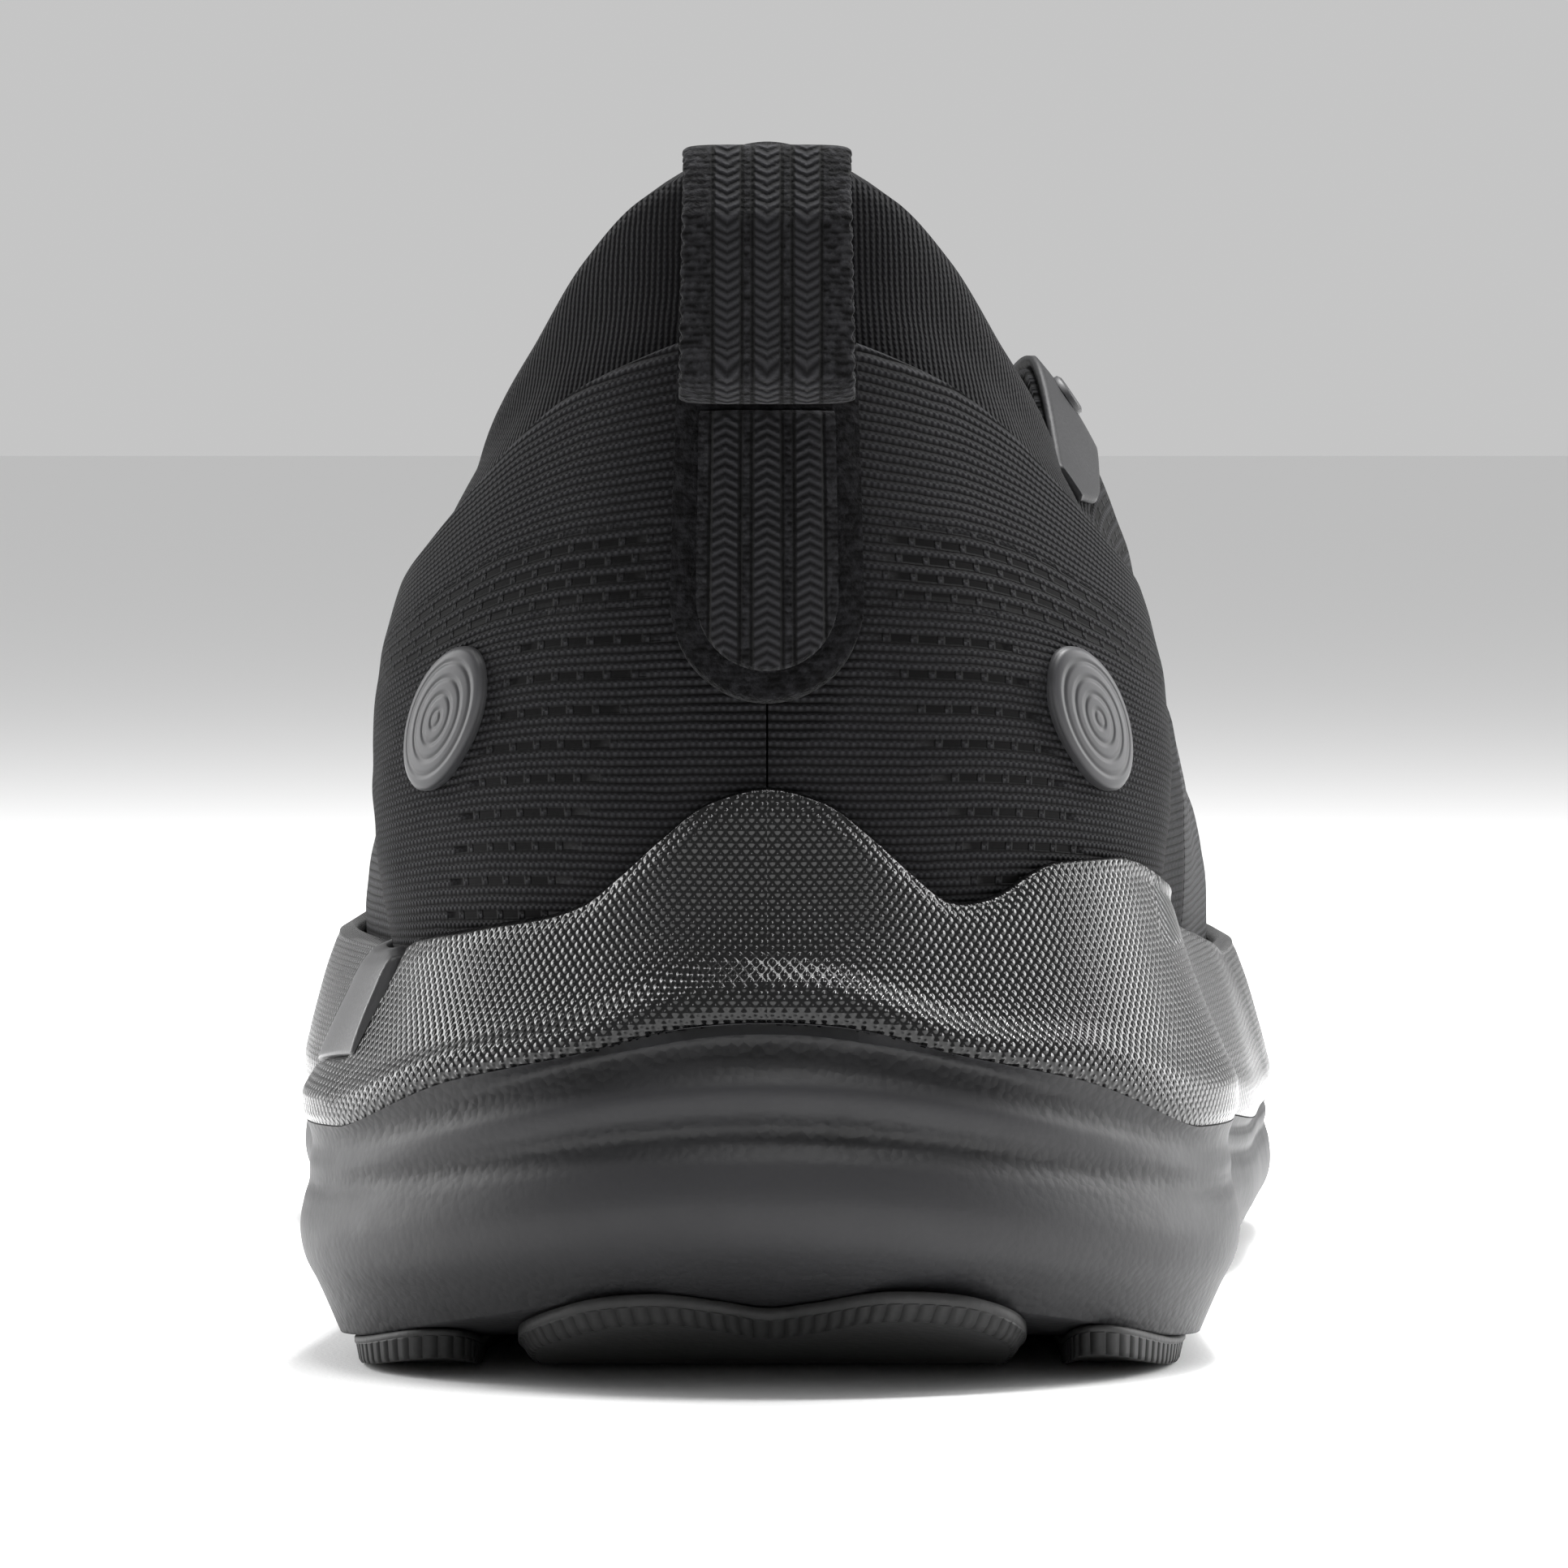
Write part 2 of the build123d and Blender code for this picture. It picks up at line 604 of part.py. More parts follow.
def eyelets(parts):
    """Punch the lace holes through the eyestays and what lies under them."""
    for side, stay, quarter in ((1, "eyestay_lateral", "quarter_lateral"), (-1, "eyestay_medial",
            "quarter_medial")):
        for i in range(eyelet_count):
            g = np.array([side * (1.98 + 0.92 * i / (eyelet_count - 1))])
            t = np.array([0.915])
            p = layer(g, t, 6.0)[0]
            q = layer(g, t, -4.0)[0]
            punch = Solid.make_cylinder(eyelet_radius, float(np.linalg.norm(q - p)),
                                        Plane(origin=Vector(*p), z_dir=Vector(*(q - p))))
            for name in (stay, quarter, "vamp"):
                parts[name] = one(parts[name].cut(punch))


def tongue_panel(depth_out, depth_in, y0, y1, margin):
    """Arched panel under the throat between two places along the shoe."""
    stations = np.linspace(1 + 2 * (y0 - heel_axis_y) / (toe_axis_y - heel_axis_y),
                           1 + 2 * (y1 - heel_axis_y) / (toe_axis_y - heel_axis_y), 17)
    faces = []
    for depth in (depth_out, depth_in):
        rows = []
        for s in stations:
            shares = np.array([1.0 - margin, 1.0 - margin / 2, 0.999])
            sides = []
            for side in (1, -1):
                g = np.full(3, side * max(s, 2.0))
                p = layer(g, shares, depth)
                behind = 2.0 - min(s, 2.0)
                p = p * [1.0 - tongue_tip_taper * behind, 1.0, 1.0]
                sides.append(p + [0.0, centre(s)[1] - centre(max(s, 2.0))[1], tongue_tip_rise * behind])
            right, left = sides
            slope = (right[2, 2] - right[1, 2]) / max(right[1, 0] - right[2, 0], 1e-6)
            half = 0.5 * (right[2, 0] - left[2, 0])
            mid = 0.5 * (right[2] + left[2])
            a = np.linspace(1, -1, 11)[1:-1]
            arch = np.stack([mid[0] + a * half, np.full_like(a, mid[1]),
                             mid[2] + 0.5 * slope * half * (1 - a**2)], axis=-1)
            rows.append(np.concatenate([right, arch, left[::-1]]))
        faces.append(np.array(rows))
    return panel(faces[0], faces[1])


def heel_line(depth, z):
    """Depth-wise place along Y of the upper's rear centre line at heights z."""
    g = np.zeros_like(z)
    return layer(g, share_at(g, z), depth)[:, 1]


def rounded_strip(width, z0, z1):
    """Rear view prism of a strip with a round foot."""
    r = width / 2
    arc = [(r * np.sin(a), z0 + r - r * np.cos(a)) for a in np.linspace(-np.pi / 2, np.pi / 2, 25)]
    return rear_prism([(x, z) for x, z in arc] + [(r, z1), (-r, z1)], -30.0, 40.0)


def strip(width, z0, z1, depth_out, depth_in):
    """Strip that lies round the back of the heel, with a round foot."""
    body = skin(-0.42, 0.42, to_height(z0 - 3), to_height(z1), depth_out, depth_in, 17, 25)
    return one(body.intersect(rounded_strip(width, z0, z1 + 10)))


def pull_loop():
    """Webbing folded into a loop that hangs from the top of the tab."""
    near = -(sewn_gap + tab_thickness + 1.4)
    z_in = np.linspace(loop_low_z + 3, tab_high_z - 2, 7)
    inner_face = heel_line(near, z_in)
    far = near - 2 * loop_strap - loop_opening
    outer_face = heel_line(far, z_in)

    def ring(inset):
        back = [(y + inset, z) for y, z in zip(outer_face, z_in)]
        front = [(y - inset, z) for y, z in zip(inner_face, z_in)]
        mid_low = 0.5 * (back[0][0] + front[0][0])
        mid_top = 0.5 * (back[-1][0] + front[-1][0])
        low = [(mid_low, loop_low_z + inset)]
        top = [(mid_top + 0.5, loop_top_z - inset)]
        points = low + front + top + back[::-1]
        return Wire([Edge.make_spline([Vector(-loop_width / 2, y, z) for y, z in points], periodic=True)])

    along = Vector(loop_width, 0, 0)
    outer = Solid.extrude(Face(ring(0.0)), along)
    hole = Solid.extrude(Face(ring(loop_strap)), along)
    return one(outer.cut(hole))


def patch(side):
    """Plain oval patch on a quarter."""
    angle = np.radians(patch_angle)
    out = Vector(side * np.sin(angle), -np.cos(angle), 0)
    base = Plane(origin=Vector(0, heel_axis_y, patch_z), x_dir=Vector(-out.Y, out.X, 0), z_dir=out)
    oval = Face(Wire([Edge.make_ellipse(patch_height / 2 + 2.2, patch_width / 2, base)]).rotate(
        Axis(Vector(0, heel_axis_y, patch_z), out), -side * 52.0))
    prism = Solid.extrude(oval, out * 70.0)
    g0 = side * (patch_angle / 90.0)
    body = skin(min(g0 - 0.45, g0 + 0.45), max(g0 - 0.45, g0 + 0.45), to_height(patch_z - 14),
                to_height(patch_z + 13),
                -sewn_gap - patch_thickness, -sewn_gap, 17, 9)
    return one(body.intersect(prism))


def build_upper():
    """Knit panels, collar, eyestays, tongue, toe guard, patches and pull tab."""
    top = quarter_top
    parts = {
        "quarter_lateral": skin(seam_half_angle, panel_split, share_const(0.0), top, 0.0,
                                knit_thickness, 49, 15),
        "quarter_medial": skin(-panel_split, -seam_half_angle, share_const(0.0), top, 0.0,
                               knit_thickness, 49, 15),
        "vamp": skin(panel_split + 0.006, 8 - panel_split - 0.006, share_const(0.0), share_const(0.985),
                     0.0, knit_thickness, 49, 15),
        "ankle_collar": skin(-1.8, 1.8, to_height(padding_low_z), share_const(1.0),
                             knit_thickness + sewn_gap,
                             knit_thickness + sewn_gap + collar_knit_thickness, 49, 11),
        "eyestay_lateral": skin(1.72, 2.99, eyestay_low, share_const(1.0), -sewn_gap - overlay_thickness,
                                -sewn_gap, 25, 7),
        "eyestay_medial": skin(-2.99, -1.72, eyestay_low, share_const(1.0), -sewn_gap - overlay_thickness,
                               -sewn_gap, 25, 7),
        "toe_guard": skin(3.45, 4.55, guard_low, lambda g: guard_low(g) + 0.16 - 0.08 * np.abs(g - 4) / 0.55,
                          -sewn_gap - overlay_thickness, -sewn_gap, 25, 7),
        "heel_seam_tape": skin(-0.1, 0.1, to_height(counter_low_z), to_height(counter_high_z + 1),
                               knit_thickness + 0.2, knit_thickness + 0.55, 7, 9),
    }
    eyelets(parts)
    under = knit_thickness + tongue_gap
    parts["tongue"] = tongue_panel(under, under + tongue_thickness, tongue_tip_y, 188.0, 0.16)
    pad = under + tongue_thickness + sewn_gap
    parts["tongue_padding"] = tongue_panel(pad, pad + tongue_padding_thickness, tongue_tip_y + 3,
                                           150.0, 0.08)
    parts["heel_patch_lateral"] = patch(1)
    parts["heel_patch_medial"] = patch(-1)
    parts["pull_tab_base"] = strip(tab_width, tab_low_z, tab_high_z, -sewn_gap - tab_thickness, -sewn_gap)
    insert = -2 * sewn_gap - tab_thickness
    parts["pull_tab_insert"] = strip(insert_width, insert_low_z, insert_high_z,
                                     insert - insert_thickness, insert)
    parts["pull_loop"] = pull_loop()
    return parts


def main():
    """Build every piece, stand the shoe on its middle and write the files."""
    parts = build_sole()
    parts.update(build_inside())
    parts.update(build_upper())
    boxes = [solid.bounding_box() for solid in parts.values()]
    low = np.min([tuple(box.min) for box in boxes], axis=0)
    high = np.max([tuple(box.max) for box in boxes], axis=0)
    shift = Vector(-(low[0] + high[0]) / 2, -(low[1] + high[1]) / 2, -low[2])
    os.makedirs("parts", exist_ok=True)
    for name, solid in parts.items():
        export_step(solid.moved(Location(shift)), f"parts/{name}.step")
        print(name, round(solid.volume, 1), solid.is_valid, len(solid.solids()))
    print("shift", shift, "size", high - low)


if __name__ == "__main__":
    main()
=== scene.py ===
"""A black running shoe for the right foot, dressed over its CAD frame.

The shoe stands with its toe toward +Y and its outer side toward +X. All shapes come from one
description of the shoe, the Last: stations run round it from the middle of the heel (0) along
the outer side to the tip of the toe (4) and back along the inner side (8), and a section is
drawn outward from the shoe's centre line. Shapes are worked out in millimetres in the Last's
own place and moved to the frame as metres when a mesh is made.
"""
import json
import logging
import math
from dataclasses import dataclass, field
from enum import Enum
from typing import Callable, Optional, Sequence

import bmesh
import bpy
import numpy as np
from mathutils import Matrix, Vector

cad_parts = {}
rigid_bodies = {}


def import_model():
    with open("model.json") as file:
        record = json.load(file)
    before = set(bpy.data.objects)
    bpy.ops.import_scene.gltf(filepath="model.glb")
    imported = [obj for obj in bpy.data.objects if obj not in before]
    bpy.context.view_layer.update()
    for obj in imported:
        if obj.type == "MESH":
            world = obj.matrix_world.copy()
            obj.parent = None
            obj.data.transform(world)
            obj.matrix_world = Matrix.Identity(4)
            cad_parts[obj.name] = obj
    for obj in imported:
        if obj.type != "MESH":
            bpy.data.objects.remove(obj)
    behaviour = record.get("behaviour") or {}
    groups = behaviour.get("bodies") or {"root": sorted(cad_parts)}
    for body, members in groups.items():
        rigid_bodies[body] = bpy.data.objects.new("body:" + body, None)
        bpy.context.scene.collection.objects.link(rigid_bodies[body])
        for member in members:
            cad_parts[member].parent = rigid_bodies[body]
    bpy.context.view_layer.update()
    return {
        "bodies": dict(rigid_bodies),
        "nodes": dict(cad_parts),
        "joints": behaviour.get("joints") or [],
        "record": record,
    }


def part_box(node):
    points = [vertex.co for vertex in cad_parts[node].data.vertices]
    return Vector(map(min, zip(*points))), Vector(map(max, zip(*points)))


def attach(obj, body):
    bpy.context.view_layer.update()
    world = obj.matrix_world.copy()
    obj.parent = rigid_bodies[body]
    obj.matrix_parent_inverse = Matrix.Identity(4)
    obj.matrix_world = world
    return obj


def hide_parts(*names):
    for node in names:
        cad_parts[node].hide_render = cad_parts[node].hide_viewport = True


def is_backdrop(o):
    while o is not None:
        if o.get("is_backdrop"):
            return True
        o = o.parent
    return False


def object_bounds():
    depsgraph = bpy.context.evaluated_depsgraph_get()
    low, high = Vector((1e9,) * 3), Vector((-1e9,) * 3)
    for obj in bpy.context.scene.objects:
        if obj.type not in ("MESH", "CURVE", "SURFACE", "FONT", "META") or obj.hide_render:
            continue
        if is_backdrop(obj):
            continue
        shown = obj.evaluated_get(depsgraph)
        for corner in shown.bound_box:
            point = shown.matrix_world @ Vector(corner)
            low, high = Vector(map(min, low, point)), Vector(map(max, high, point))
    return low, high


LOG = logging.getLogger("shoe")
MM = 0.001
Array = np.ndarray


# ---- numbers along a line --------------------------------------------------------------------
def smooth(x: Array, lo: float, hi: float) -> Array:
    """Smooth step from 0 at lo to 1 at hi."""
    k = np.clip((np.asarray(x, dtype=float) - lo) / (hi - lo), 0.0, 1.0)
    return k * k * (3.0 - 2.0 * k)


def curve(x: Array, table: Sequence[tuple[float, float]]) -> Array:
    """Smooth curve through a table of places and values.

    Args:
        x: places to read.
        table: rows of place and value, in order; between rows the curve is a cubic that
            never overshoots.

    Returns:
        The value at each place.
    """
    xs, ys = np.array(table, dtype=float).T
    step = np.diff(xs)
    rise = np.diff(ys) / step
    same = rise[:-1] * rise[1:] > 0
    wa = 2.0 * step[1:] + step[:-1]
    wb = step[1:] + 2.0 * step[:-1]
    mean = (wa + wb) / (wa / np.where(same, rise[:-1], 1.0) + wb / np.where(same, rise[1:], 1.0))
    slope = np.concatenate([[0.0], np.where(same, mean, 0.0), [0.0]])
    x = np.clip(np.asarray(x, dtype=float), xs[0], xs[-1])
    i = np.clip(np.searchsorted(xs, x, side="right") - 1, 0, len(step) - 1)
    k = (x - xs[i]) / step[i]
    return ((2 * k**3 - 3 * k**2 + 1) * ys[i] + (k**3 - 2 * k**2 + k) * step[i] * slope[i]
            + (3 * k**2 - 2 * k**3) * ys[i + 1] + (k**3 - k**2) * step[i] * slope[i + 1])


def through(levels: Array, k: Array) -> Array:
    """Smooth values between levels: a cubic through each four neighbours along the first axis.

    Args:
        levels: values, one row for each level.
        k: places counted in levels, one for each row wanted.

    Returns:
        One row for each k.
    """
    last = len(levels) - 1
    i = np.clip(np.floor(k).astype(int), 0, last - 1)
    f = (k - i).reshape((-1,) + (1,) * (levels.ndim - 1))
    a, b = levels[np.maximum(i - 1, 0)], levels[i]
    c, d = levels[i + 1], levels[np.minimum(i + 2, last)]
    return b + 0.5 * f * (c - a + f * (2 * a - 5 * b + 4 * c - d + f * (3 * (b - c) + d - a)))


def hash_noise(points: Array, size: float, seed: int) -> Array:
    """Soft lumps at points: a sum of six sine waves of about that size in random directions."""
    rng = np.random.default_rng(seed)
    total = np.zeros(points.shape[:-1])
    for _ in range(6):
        way = rng.normal(size=3)
        way *= 2 * math.pi / (size * rng.uniform(0.7, 1.5) * np.linalg.norm(way))
        total += np.sin(points @ way + rng.uniform(0, 2 * math.pi))
    return total / 6.0


# ---- the shoe's common shape -----------------------------------------------------------------
@dataclass
class Last:
    """The shoe's shape, in millimetres: outlines, heights and sections at signed stations."""

    sole_length: float = 300.0
    heel_half: float = 49.0
    ball_half: float = 57.0
    toe_swing: float = 9.0
    heel_axis: float = 52.0
    toe_axis: float = 190.0
    collar_peak: float = 124.0
    throat_top: float = 104.0
    collar_low: float = 87.0
    rubber: float = 3.0
    footbed_heel: float = 36.0
    footbed_ball: float = 27.0
    toe_spring: float = 16.0
    heel_bevel: float = 11.0
    crease_heel: float = 39.0
    crease_side: float = 25.0
    crease_fore: float = 16.5
    rim_peak: float = 61.5
    rim_saddle: float = 48.4
    rim_join: float = 16.0
    block_start: float = 0.72
    block_end: float = 2.1
    block_low: float = 30.0
    origin: Array = field(default_factory=lambda: np.zeros(3))

    def seat(self) -> None:
        """Read from the frame where the shoe stands: the loop is on its centre line."""
        low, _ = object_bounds()
        loop_low, loop_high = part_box("pull_loop")
        self.origin = np.array([(loop_low.x + loop_high.x) / 2, low[1], low[2]])

    def world(self, points: Array) -> Array:
        """Points of the Last, in millimetres, as frame points in metres."""
        return points * MM + self.origin

    @staticmethod
    def station(g: Array) -> tuple[Array, Array]:
        """Station 0 to 4 and side, +1 outer or -1 inner, of a signed station."""
        g = np.asarray(g, dtype=float)
        return np.where(g > 4, 8.0 - g, np.abs(g)), np.where((g < 0) | (g > 4), -1.0, 1.0)

    def centre(self, s: Array) -> tuple[Array, Array]:
        """Centre of the section at station s: x and y."""
        along = np.clip(s, 1.0, 3.0) - 1.0
        return along, self.heel_axis + (self.toe_axis - self.heel_axis) * along / 2.0

    def place(self, g: Array, reach: Array, z: Array) -> Array:
        """Points a reach outward from the centre line at signed stations g and heights z."""
        s, side = self.station(g)
        x0, y0 = self.centre(s)
        angle = np.where(s < 1, (s - 1) * math.pi / 2, np.where(s > 3, (s - 3) * math.pi / 2, 0.0))
        x = x0 + side * np.cos(angle) * reach
        y = y0 + np.sin(angle) * reach
        x = x - self.toe_swing * (np.clip(y - 165.0, 0.0, None) / 130.0) ** 2
        return np.stack(np.broadcast_arrays(x, y, z), axis=-1)

    def sole_reach(self, g: Array) -> Array:
        """Outline of the sole at its fullest level."""
        s, side = self.station(g)
        front = self.sole_length - self.toe_axis
        corner = 0.61 * self.ball_half + 0.36 * front
        rear = [(0, self.heel_axis), (0.5, 50.2)]
        toe = [(3.5, corner), (4, front)]
        outer = curve(s, rear + [(1, self.heel_half + 0.6), (1.5, self.heel_half - 0.6), (2, self.heel_half),
                                 (2.5, self.ball_half - 3), (3, self.ball_half)] + toe)
        inner = curve(s, rear + [(1, self.heel_half), (1.5, self.heel_half - 3), (2, self.heel_half - 5),
                                 (2.5, self.ball_half - 9), (3, self.ball_half - 5)] + toe)
        return np.where(side > 0, outer, inner)

    def upper_reach(self, g: Array) -> Array:
        """Fullest reach of the knit's outer face."""
        inset = curve(self.station(g)[0], [(0, 8.4), (0.5, 8.8), (1, 8.6), (2, 7.2), (3, 6.4), (4, 8.4)])
        return self.sole_reach(g) - inset

    def footbed(self, y: Array) -> Array:
        """Top of the foam under the foot."""
        return curve(y, [(-20, self.footbed_heel), (60, self.footbed_heel),
                         (120, 0.6 * self.footbed_heel + 0.4 * self.footbed_ball), (200, self.footbed_ball),
                         (235, self.footbed_ball + 0.8), (270, self.footbed_ball + 0.35 * self.toe_spring),
                         (320, self.footbed_ball + 0.9 * self.toe_spring)])

    def edge_z(self, s: Array) -> Array:
        """Height of the collar and throat edge."""
        peak, top = self.collar_peak, self.throat_top
        return curve(s, [(0, peak + 2), (0.25, peak - 2.2), (0.42, peak - 9), (0.6, 106), (0.8, 99.5),
                         (1, 94.5), (1.25, 89.5), (1.5, self.collar_low), (1.75, self.collar_low + 6),
                         (2, top), (2.25, top - 4.5), (2.5, top - 12), (3, 79.0), (3.5, 76.5), (4, 75.5)])

    def section(self, g: Array, t: Array) -> Array:
        """Outer face of the upper.

        Each section is one cubic in reach and height: it starts tucked in at the footbed,
        bulges to the full reach and leans in to the collar or throat edge.

        Args:
            g: signed stations.
            t: share of the way from the sole to the edge.

        Returns:
            The points.
        """
        s, _ = self.station(g)
        full = self.upper_reach(g)
        z0 = self.footbed(self.place(g, full * 0.93, 0.0)[..., 1]) + 0.3
        z3 = self.edge_z(s)
        r0 = curve(s, [(0, 0.955), (1, 0.925), (2, 0.93), (3, 0.95), (4, 0.96)])
        r1 = curve(s, [(0, 1.045), (1, 1.125), (2, 1.08), (3, 1.06), (4, 1.04)])
        r2 = curve(s, [(0, 1.03), (0.5, 1.02), (1, 1.02), (1.5, 0.98), (2, 1.0), (2.5, 0.88), (3, 0.80),
                       (3.5, 0.78), (4, 0.80)])
        r3 = curve(s, [(0, 0.80), (0.5, 0.765), (1, 0.74), (1.5, 0.78), (1.75, 0.74), (2, 0.66), (2.5, 0.42),
                       (3, 0.28), (3.5, 0.19), (4, 0.14)])
        k1 = curve(s, [(0, 0.32), (1, 0.48), (2, 0.38), (3, 0.50), (4, 0.36)])
        k2 = curve(s, [(0, 0.58), (1, 0.76), (2, 0.78), (3, 0.98), (3.5, 0.80), (4, 0.56)])
        b, c, d = 3 * t * (1 - t) ** 2, 3 * t**2 * (1 - t), t**3
        share = (1 - t) ** 3 * r0 + b * r1 + c * r2 + d * r3
        return self.place(g, full * share, z0 + (z3 - z0) * (b * k1 + c * k2 + d))

    def layer(self, g: Array, t: Array, depth: Array) -> Array:
        """Face a depth inside the upper's outer face, square to it; negative depths stand proud."""
        h = 1e-3
        along = self.section(g + h, t) - self.section(g - h, t)
        up = self.section(g, t + h) - self.section(g, t - h)
        normal = np.cross(along, up)
        normal /= np.linalg.norm(normal, axis=-1, keepdims=True)
        return self.section(g, t) - normal * np.asarray(depth)[..., None]

    def share_at(self, g: Array, z: Array) -> Array:
        """Share of the way up the section where it reaches height z, by halving."""
        low = np.zeros(np.broadcast(g, z).shape)
        high = low + 1.15
        for _ in range(32):
            mid = (low + high) / 2
            under = self.section(g, mid)[..., 2] < z
            low, high = np.where(under, mid, low), np.where(under, high, mid)
        return (low + high) / 2

    def crease(self, y: Array) -> Array:
        """Joint line between the lower foam and the cup, in side view."""
        heel, side, fore = self.crease_heel, self.crease_side, self.crease_fore
        return curve(y, [(-12, heel + 1), (0, heel), (6, heel - 4.2), (15, side + 6.5), (32, side + 0.6),
                         (60, side), (120, 0.5 * (side + fore)), (170, fore), (205, fore),
                         (250, fore + 0.25 * self.toe_spring), (320, fore + 1.35 * self.toe_spring)])

    def underside(self, y: Array) -> Array:
        """Underside of the foam, in side view."""
        base, bevel, spring = self.rubber, self.heel_bevel, self.toe_spring
        return curve(y, [(-12, base + bevel), (2, base + 0.85 * bevel), (18, base + 0.38 * bevel),
                         (36, base + 0.06 * bevel), (50, base), (205, base), (235, base + 0.12 * spring),
                         (268, base + 0.46 * spring), (320, base + 1.25 * spring)])

    def rim(self, g: Array) -> Array:
        """Top of the cup's wall: a peak across the back of the heel, then a long wave."""
        p = self.place(g, self.sole_reach(g) - 7.0, 0.0)
        _, side = self.station(g)
        saddle = self.rim_saddle
        tail = [(150, 38.0), (190, 34.5), (230, 35.0), (265, 40.0), (320, 49.0)]
        outer = curve(p[..., 1], [(15, saddle + 2.4), (21, saddle + 4.9), (28, saddle + 5.0),
                                  (42, saddle + 2.0), (60, saddle - 1.0), (78, saddle - 1.6),
                                  (110, 44.5)] + tail)
        inner = curve(p[..., 1], [(15, saddle - 1.0), (24, saddle - 2.6), (45, saddle - 5.4),
                                  (70, saddle - 5.4), (95, saddle - 3.0), (125, 44.0)] + tail)
        drop = self.rim_peak - saddle
        rear = self.rim_peak - curve(np.abs(p[..., 0]), [(0, 0), (5.7, 0.11 * drop), (11, 0.41 * drop),
                                                         (15, 0.69 * drop), (19, 0.92 * drop),
                                                         (25, drop), (60, drop)])
        join = smooth(p[..., 1], self.rim_join - 5.0, self.rim_join + 2.0)
        return rear + (np.where(side > 0, outer, inner) - rear) * join

    def blend_levels(self, g: Array, heel: float, side: float, fore: float) -> Array:
        """Blend of three values from the heel's middle, over its side, to the forefoot."""
        s, _ = self.station(g)
        a, b = smooth(s, 0.0, 0.85), smooth(s, 1.2, 2.7)
        return (heel + (side - heel) * a) * (1 - b) + fore * b

    def room(self, g: Array, z: Array) -> Array:
        """Reach of the upper's outer face at heights z, held below the footbed."""
        start = self.section(g, 0.0 * g)[..., 2]
        p = self.section(g, self.share_at(g, np.maximum(z, start + 0.01)))
        x0, y0 = self.centre(self.station(g)[0])
        swing = self.toe_swing * (np.clip(p[..., 1] - 165.0, 0.0, None) / 130.0) ** 2
        return np.hypot(p[..., 0] + swing - x0, p[..., 1] - y0)

    def girth(self, g: Array) -> Array:
        """Length in millimetres along the shoe's outline from the heel's middle to station g."""
        fine = np.linspace(-4.5, 8.5, 1301)
        p = self.place(np.mod(fine, 8.0), self.upper_reach(np.mod(fine, 8.0)), 0.0)
        run = np.concatenate([[0.0], np.cumsum(np.linalg.norm(np.diff(p, axis=0), axis=1))])
        return np.interp(g, fine, run - np.interp(0.0, fine, run))


LAST = Last()


# ---- meshes ----------------------------------------------------------------------------------
def mesh_object(name: str, points: Array, uv: Array, around: bool = False, loop: bool = False,
                smooth_shade: bool = True) -> bpy.types.Object:
    """Mesh over a two-parameter grid of points.

    Args:
        name: piece name.
        points: grid of points in the Last's millimetres; columns first, rows second.
        uv: surface coordinates in millimetres, the same grid.
        around: the last column is the first again.
        loop: the last row is the first again.
        smooth_shade: shade smoothly.

    Returns:
        The object, at the origin.
    """
    n, m = points.shape[:2]
    cols, rows = (n - 1 if around else n), (m - 1 if loop else m)
    i, j = np.meshgrid(np.arange(n - 1), np.arange(m - 1), indexing="ij")
    ci = np.stack([i, i + 1, i + 1, i], -1).reshape(-1, 4)
    cj = np.stack([j, j, j + 1, j + 1], -1).reshape(-1, 4)
    faces = (ci % cols) * rows + (cj % rows)
    mesh = bpy.data.meshes.new(name)
    verts = LAST.world(points[:cols, :rows].reshape(-1, 3))
    mesh.vertices.add(len(verts))
    mesh.vertices.foreach_set("co", verts.astype(np.float32).ravel())
    mesh.loops.add(faces.size)
    mesh.loops.foreach_set("vertex_index", faces.ravel().astype(np.int32))
    mesh.polygons.add(len(faces))
    mesh.polygons.foreach_set("loop_start", np.arange(0, faces.size, 4, dtype=np.int32))
    mesh.update(calc_edges=True)
    layer = mesh.uv_layers.new(name="surface")
    layer.data.foreach_set("uv", uv[ci, cj].reshape(-1, 2).astype(np.float32).ravel())
    mesh.polygons.foreach_set("use_smooth", np.full(len(faces), smooth_shade))
    mesh.validate()
    obj = bpy.data.objects.new(name, mesh)
    bpy.context.scene.collection.objects.link(obj)
    return obj


def weld(obj: bpy.types.Object, distance: float = 2e-6) -> bpy.types.Object:
    """Merge vertices that lie on each other and turn the faces outward."""
    bm = bmesh.new()
    bm.from_mesh(obj.data)
    bmesh.ops.remove_doubles(bm, verts=bm.verts, dist=distance)
    bmesh.ops.dissolve_degenerate(bm, edges=bm.edges, dist=distance)
    bmesh.ops.recalc_face_normals(bm, faces=bm.faces)
    bm.to_mesh(obj.data)
    bm.free()
    return obj


